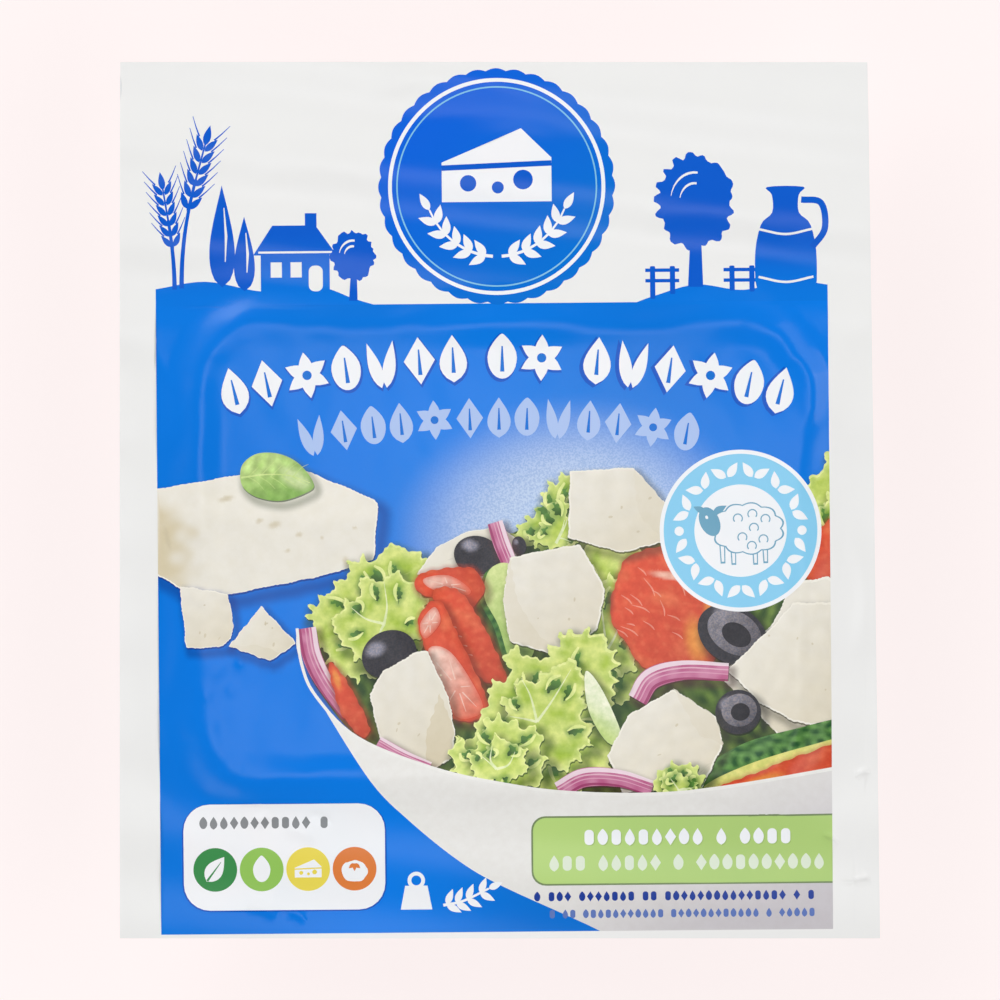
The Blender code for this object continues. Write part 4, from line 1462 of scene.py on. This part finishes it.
def back_material(back):
    """Opaque white film, glossy, a little uneven in gloss and tone."""
    material, tree, shader = shader_of("white back film")
    place = node(tree, "ShaderNodeTexCoord").outputs["Object"]
    patches = ranged(tree, noise(tree, place, 60.0, 3.0), 0.3, 0.7)
    colour = mix_colours(tree, patches, tinted(back.colour, 0.955), back.colour)
    tree.links.new(colour, shader.inputs["Base Color"])
    tree.links.new(ranged(tree, patches, 0.0, 1.0, 0.34, 0.24), shader.inputs["Roughness"])
    set_inputs(shader, Subsurface_Weight=0.08, Subsurface_Scale=0.002, Coat_Weight=0.6,
               Coat_Roughness=0.12)
    bumped(tree, shader, place, BACK_RELIEF)
    return material


def floor_material(stage):
    """Pale floor that glows a little, as a lit table does."""
    material, tree, shader = shader_of("pale floor")
    place = node(tree, "ShaderNodeTexCoord").outputs["Object"]
    patches = ranged(tree, noise(tree, place, 3.0), 0.3, 0.7)
    colour = mix_colours(tree, patches, tinted(stage.floor, 0.985), stage.floor)
    tree.links.new(mix_colours(tree, 1.0, colour, (0.22, 0.22, 0.22), "MULTIPLY"),
                   shader.inputs["Base Color"])
    tree.links.new(colour, shader.inputs["Emission Color"])
    set_inputs(shader, Emission_Strength=0.805, Roughness=0.9, Specular_IOR_Level=0.1)
    return material


# The back film's mesh

HALF_CORNER = 14  # steps round half a corner
SIDE_STEP = 2.0 * MM  # spacing along a side
FLANGE = 0.25 * MM  # thickness of the flange below the seal gap
FLANGE_TOP = 0.9  # how deep the flange's top lies in the front film, as a share of that film
SAG = 0.22 * MM  # how much lower that top lies inside the cut edge
LAP_OVER_BLOCK = 6.0 * MM  # how far the film reaches inwards over the block
ROOM_OVER_BLOCK = 0.3 * MM  # room below the seal gap, over the block
FLAT_FLOOR = 0.5 * MM  # height below which the pocket has no puckers
LEAST_OUTWARD = 1e-9  # smallest outward part of a direction that meets an edge


def around_block(film):
    """Places round the block as (base, direction, share round a corner or -1)."""
    half = np.array((film.block_width / 2, film.block_length / 2)) - film.corner_radius
    middle = np.array((film.block_x, film.block_y))
    centres = [middle + half * s for s in ((-1, -1), (1, -1), (1, 1), (-1, 1))]
    outline = cut_outline(film)
    places = []
    for turn, centre in enumerate(centres):
        first = math.pi + turn * math.pi / 2
        last = first + math.pi / 2
        to_corner = outline[turn] - centre
        bend = first + (math.atan2(to_corner[1], to_corner[0]) - first) % math.tau
        for start, end in ((first, bend), (bend, last)):
            for step in range(HALF_CORNER):
                angle = start + (end - start) * step / HALF_CORNER
                share = (angle - first) / (last - first)
                places.append((centre, np.array((math.cos(angle), math.sin(angle))), share))
        following = centres[(turn + 1) % 4]
        count = int(np.linalg.norm(following - centre) / SIDE_STEP)
        for step in range(count):
            base = centre + (following - centre) * step / count
            outwards = np.array((math.cos(last), math.sin(last)))
            places.append((base, outwards, 1.0 if step == 0 else -1.0))
    return places


def reach_of_outline(base, direction, outline):
    """Distance to the cut outline along a direction."""
    reaches = []
    for start, end in zip(outline, np.roll(outline, -1, axis=0)):
        outward = np.array((end[1] - start[1], start[0] - end[0]))
        if outward @ direction > LEAST_OUTWARD:
            reaches.append((outward @ (start - base)) / (outward @ direction))
    return min(reaches)


def pocket_profile(back):
    """Distance inwards and height down the pocket's wall."""
    mouth_turn = math.pi / 2 - back.draft
    profile = []
    for turn in np.linspace(0.0, mouth_turn, 7):
        profile.append((back.mouth_radius * (math.sin(turn) - 1.0),
                        back.pocket_depth - back.mouth_radius * (1.0 - math.cos(turn))))
    top_in, top_z = profile[-1]
    foot_z = back.floor_radius * (1.0 - math.sin(back.draft))
    run = (top_z - foot_z) * math.tan(back.draft)
    for share in np.linspace(0.0, 1.0, 16)[1:-1]:
        profile.append((top_in + run * share, top_z + (foot_z - top_z) * share))
    for turn in np.linspace(back.draft, math.pi / 2, 9):
        inwards = top_in + run + back.floor_radius * (math.cos(back.draft) - math.cos(turn))
        profile.append((inwards, back.floor_radius * (1.0 - math.sin(turn))))
    return profile


def back_shell(film, back):
    """The back film before its pleats: flange, wall and floor as one closed solid."""
    places = around_block(film)
    outline = cut_outline(film)
    radius = film.corner_radius
    edge = [reach_of_outline(base, direction, outline) for base, direction, _ in places]
    drop = film.film + film.seal_gap
    rings, slack = [], []

    def ring(offsets, height_of, pleated):
        points = [base + direction * offset for (base, direction, _), offset in zip(places, offsets)]
        rings.append([(*p, height_of(p)) for p in points])
        slack.append([pleated if share >= 0.0 else 0.0 for _, _, share in places])

    sealed = lambda p: float(seal_height(p[0], p[1], film))
    top = lambda p: sealed(p) - film.film * FLANGE_TOP
    shoulder = radius + film.shoulder
    rises = lambda p: float(film.block_rise * (1 - ease(from_block(p[0], p[1], film) / film.shoulder)))
    covered = lambda p: sealed(p) + rises(p) - drop - ROOM_OVER_BLOCK
    ring([radius - LAP_OVER_BLOCK] * len(places), covered, 0.0)
    ring([radius] * len(places), covered, 0.0)
    ring([shoulder] * len(places), lambda p: top(p) - SAG, 0.0)
    for share in np.linspace(0.0, 1.0, 13)[1:]:
        sag = SAG if share < 1.0 else 0.0
        ring([shoulder + (reach - shoulder) * share for reach in edge], lambda p: top(p) - sag, 0.0)
    under = lambda p: sealed(p) - drop - FLANGE
    for share in np.linspace(1.0, 0.0, 13):
        ring([shoulder + (reach - shoulder) * share for reach in edge], under, 0.0)
    for offset in np.linspace(shoulder, radius + back.mouth_radius, 5)[1:-1]:
        ring([offset] * len(places), under, 0.2)
    for inwards, height in pocket_profile(back):
        level = max(0.0, math.sin(math.pi * (height / back.pocket_depth) ** 0.8))
        join = ease((height - back.pocket_depth + back.mouth_radius) / back.mouth_radius)
        height_of = lambda p, h=height, j=join: h + float(j) * (under(p) - back.pocket_depth)
        ring([radius - inwards] * len(places), height_of, level)
    return rings, slack, places


def pleat_tree():
    """Geometry nodes that raise pleats at the corners and fine puckers along the walls."""
    tree = bpy.data.node_groups.new("film pleats", "GeometryNodeTree")
    tree.interface.new_socket("Geometry", in_out="OUTPUT", socket_type="NodeSocketGeometry")
    tree.interface.new_socket("Geometry", in_out="INPUT", socket_type="NodeSocketGeometry")
    for name, kind in (("Pleat Height", "NodeSocketFloat"), ("Pleats", "NodeSocketInt"),
                       ("Pucker Height", "NodeSocketFloat"), ("Seed", "NodeSocketInt"),
                       ("Material", "NodeSocketMaterial")):
        tree.interface.new_socket(name, in_out="INPUT", socket_type=kind)
    new, link = tree.nodes.new, tree.links.new
    inputs, outputs = new("NodeGroupInput"), new("NodeGroupOutput")

    def attribute(name):
        made = new("GeometryNodeInputNamedAttribute")
        made.data_type = "FLOAT"
        made.inputs["Name"].default_value = name
        return made.outputs["Attribute"]

    def maths(operation, *values):
        made = new("ShaderNodeMath")
        made.operation = operation
        for socket, value in zip(made.inputs, values):
            if isinstance(value, bpy.types.NodeSocket):
                link(value, socket)
            else:
                socket.default_value = value
        return made.outputs[0]

    turns = maths("MULTIPLY", attribute("round_corner"), inputs.outputs["Pleats"])
    turns = maths("MULTIPLY", turns, math.tau)
    noise_node = new("ShaderNodeTexNoise")
    noise_node.noise_dimensions = "4D"
    noise_node.inputs["Scale"].default_value = 150.0
    noise_node.inputs["Detail"].default_value = 2.0
    link(new("GeometryNodeInputPosition").outputs[0], noise_node.inputs["Vector"])
    link(inputs.outputs["Seed"], noise_node.inputs["W"])
    wander = maths("SUBTRACT", noise_node.outputs[0], 0.5)
    wave = maths("COSINE", maths("ADD", turns, maths("MULTIPLY", wander, 3.0)))
    ridge = maths("POWER", maths("ADD", maths("MULTIPLY", wave, 0.5), 0.5), 2.5)
    pleat = maths("MULTIPLY", maths("SUBTRACT", ridge, 0.55), inputs.outputs["Pleat Height"])
    pleat = maths("MULTIPLY", pleat, attribute("slack"))
    pucker = maths("MULTIPLY", wander, inputs.outputs["Pucker Height"])
    pucker = maths("MULTIPLY", pucker, attribute("wall"))
    lift = maths("ADD", pleat, pucker)
    scale = new("ShaderNodeVectorMath")
    scale.operation = "SCALE"
    link(new("GeometryNodeInputNormal").outputs[0], scale.inputs[0])
    link(lift, scale.inputs["Scale"])
    move = new("GeometryNodeSetPosition")
    link(inputs.outputs["Geometry"], move.inputs["Geometry"])
    link(scale.outputs[0], move.inputs["Offset"])
    realize, paint = new("GeometryNodeRealizeInstances"), new("GeometryNodeSetMaterial")
    link(move.outputs[0], realize.inputs[0])
    link(realize.outputs[0], paint.inputs["Geometry"])
    link(inputs.outputs["Material"], paint.inputs["Material"])
    link(paint.outputs[0], outputs.inputs[0])
    return tree


def make_back_film(film, back):
    """The drawn back film with its pleated corners."""
    rings, slack, places = back_shell(film, back)
    bm = bmesh.new()
    slack_layer = bm.verts.layers.float.new("slack")
    turn_layer = bm.verts.layers.float.new("round_corner")
    wall_layer = bm.verts.layers.float.new("wall")
    rows = []
    for points, slacks in zip(rings, slack):
        row = []
        for point, loose, (_, _, share) in zip(points, slacks, places):
            vertex = bm.verts.new(point)
            vertex[slack_layer] = loose * math.sin(math.pi * max(share, 0.0)) ** 0.5
            vertex[turn_layer] = max(share, 0.0)
            height = point[2] - FLOOR_OF_PACK
            vertex[wall_layer] = 1.0 if FLAT_FLOOR < height < back.pocket_depth else 0.0
            row.append(vertex)
        rows.append(row)
    bm.faces.new(rows[0])
    bm.faces.new(rows[-1])
    for inner, outer in zip(rows, rows[1:]):
        for k in range(len(inner)):
            after = (k + 1) % len(inner)
            bm.faces.new((inner[k], inner[after], outer[after], outer[k]))
    bmesh.ops.recalc_face_normals(bm, faces=bm.faces)
    mesh = bpy.data.meshes.new("back shell")
    bm.to_mesh(mesh)
    bm.free()
    shell = bpy.data.objects.new("back shell", mesh)
    bpy.context.scene.collection.objects.link(shell)
    material = back_material(back)
    tree = pleat_tree()
    pleats = shell.modifiers.new("pleats", "NODES")
    pleats.node_group = tree
    values = {"Pleat Height": back.pleat_height, "Pleats": back.pleat_count,
              "Pucker Height": back.pucker, "Seed": back.seed, "Material": material}
    for item in tree.interface.items_tree:
        if item.item_type == "SOCKET" and item.name in values:
            pleats[item.identifier] = values[item.name]
    seen = shell.evaluated_get(bpy.context.evaluated_depsgraph_get())
    done = bpy.data.meshes.new_from_object(seen)
    done.name = "drawn_film"
    bpy.data.objects.remove(shell)
    done.shade_smooth()
    done.set_sharp_from_angle(angle=math.radians(50.0))
    piece = bpy.data.objects.new("drawn_film", done)
    bpy.context.scene.collection.objects.link(piece)
    return piece


# Operators


class PACK_OT_front_film(bpy.types.Operator):
    """Make the printed front film"""

    bl_idname = "cheese_pack.front_film"
    bl_label = "Printed front film"

    def execute(self, context):
        settings = look(context)
        piece = make_front_film(settings.film, settings.ink)
        for finish in PICTURES:
            piece.data.materials.append(film_material(finish))
        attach(piece, BODY)
        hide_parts("front_film")
        return {"FINISHED"}


class PACK_OT_back_film(bpy.types.Operator):
    """Make the drawn back film, filled by the block"""

    bl_idname = "cheese_pack.back_film"
    bl_label = "Drawn back film"

    def execute(self, context):
        settings = look(context)
        piece = make_back_film(settings.film, settings.back)
        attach(piece, BODY)
        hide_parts("filled_pocket")
        return {"FINISHED"}


# The studio's soft boxes as (name, place, size, power), all turned towards the pack
SOFT_BOXES = (
    ("key", (-1.0, 1.0, 1.22), (2.2, 1.1), 22.4),
    ("fill", (1.15, -0.5, 1.15), (2.0, 1.1), 13.3),
    ("right rim", (0.9, 1.0, 1.25), (1.6, 1.0), 5.5),
    ("left rim", (-1.0, -0.9, 1.25), (1.6, 1.0), 5.5),
)
# The world's light near the horizon, high up and straight above
LOW_SKY, HIGH_SKY, VEIL = (0.36, 0.35, 0.35), (0.075, 0.077, 0.082), (2.0, 2.03, 2.14)
FLOOR_RADIUS = 6.0


def add_light(name, place, size, power):
    """A soft box that faces the pack."""
    data = bpy.data.lights.new(name, "AREA")
    data.shape = "RECTANGLE"
    data.size, data.size_y = size
    data.energy = power
    light = bpy.data.objects.new(name, data)
    light.location = place
    light.rotation_euler = (-Vector(place)).to_track_quat("-Z", "Y").to_euler()
    bpy.context.scene.collection.objects.link(light)


def studio_world():
    """Dim all-round light, brighter near the horizon, with a bright patch straight above."""
    world = bpy.data.worlds.new("studio")
    world.use_nodes = True
    tree = world.node_tree
    background = tree.nodes["Background"]
    way = node(tree, "ShaderNodeTexCoord").outputs["Generated"]
    split = node(tree, "ShaderNodeSeparateXYZ")
    tree.links.new(way, split.inputs[0])
    tilt = node(tree, "ShaderNodeMath", operation="ARCCOSINE")
    tree.links.new(split.outputs["Z"], tilt.inputs[0])
    sides = ranged(tree, tilt.outputs[0], math.radians(34.0), math.radians(66.0))
    above = ranged(tree, tilt.outputs[0], math.radians(2.0), math.radians(9.5), 1.0, 0.0)
    colour = mix_colours(tree, above, mix_colours(tree, sides, HIGH_SKY, LOW_SKY), VEIL)
    tree.links.new(colour, background.inputs["Color"])
    background.inputs["Strength"].default_value = 1.0
    return world


class PACK_OT_stage(bpy.types.Operator):
    """Make the floor, the lights and the camera"""

    bl_idname = "cheese_pack.stage"
    bl_label = "Floor, lights and camera"

    def execute(self, context):
        stage = look(context).stage
        scene = context.scene
        bm = bmesh.new()
        bmesh.ops.create_circle(bm, cap_ends=True, segments=96, radius=FLOOR_RADIUS)
        mesh = bpy.data.meshes.new("floor")
        bm.to_mesh(mesh)
        bm.free()
        mesh.transform(Matrix.Translation((0.0, 0.0, FLOOR_OF_PACK)))
        mesh.materials.append(floor_material(stage))
        floor = bpy.data.objects.new("floor", mesh)
        scene.collection.objects.link(floor)

        scene.world = studio_world()
        for box in SOFT_BOXES:
            add_light(*box)

        lens = bpy.data.cameras.new("camera")
        lens.sensor_width = 36.0
        distance = stage.camera_height - HIGH.z
        lens.lens = lens.sensor_width * distance / stage.view_width
        lens.clip_end = 50.0
        camera = bpy.data.objects.new("camera", lens)
        camera.location = (0.0, 0.0, stage.camera_height)
        scene.collection.objects.link(camera)
        scene.camera = camera
        scene.view_settings.view_transform = "Standard"
        return {"FINISHED"}


class PACK_PT_sidebar(bpy.types.Panel):
    """Lists the pack's pieces and settings"""

    bl_label = "Cheese Pack"
    bl_space_type = "VIEW_3D"
    bl_region_type = "UI"
    bl_category = "Cheese Pack"

    def draw(self, context):
        settings = look(context)
        for operator in (PACK_OT_front_film, PACK_OT_back_film, PACK_OT_stage):
            self.layout.operator(operator.bl_idname)
        for group in (settings.film, settings.ink, settings.back, settings.stage):
            box = self.layout.box()
            for name in group.bl_rna.properties.keys():
                if name not in ("name", "rna_type"):
                    box.prop(group, name)


CLASSES = (FilmSizes, PrintColours, BackLook, StageLook, PackSettings, PACK_OT_front_film,
           PACK_OT_back_film, PACK_OT_stage, PACK_PT_sidebar)


def register():
    """Register the classes and the scene's settings."""
    for cls in CLASSES:
        bpy.utils.register_class(cls)
    bpy.types.Scene.cheese_pack = PointerProperty(type=PackSettings)


def unregister():
    """Remove the settings and the classes."""
    del bpy.types.Scene.cheese_pack
    for cls in reversed(CLASSES):
        bpy.utils.unregister_class(cls)


def main():
    """Make every piece."""
    register()
    bpy.ops.cheese_pack.stage()
    bpy.ops.cheese_pack.back_film()
    bpy.ops.cheese_pack.front_film()


if __name__ == "__main__":
    main()
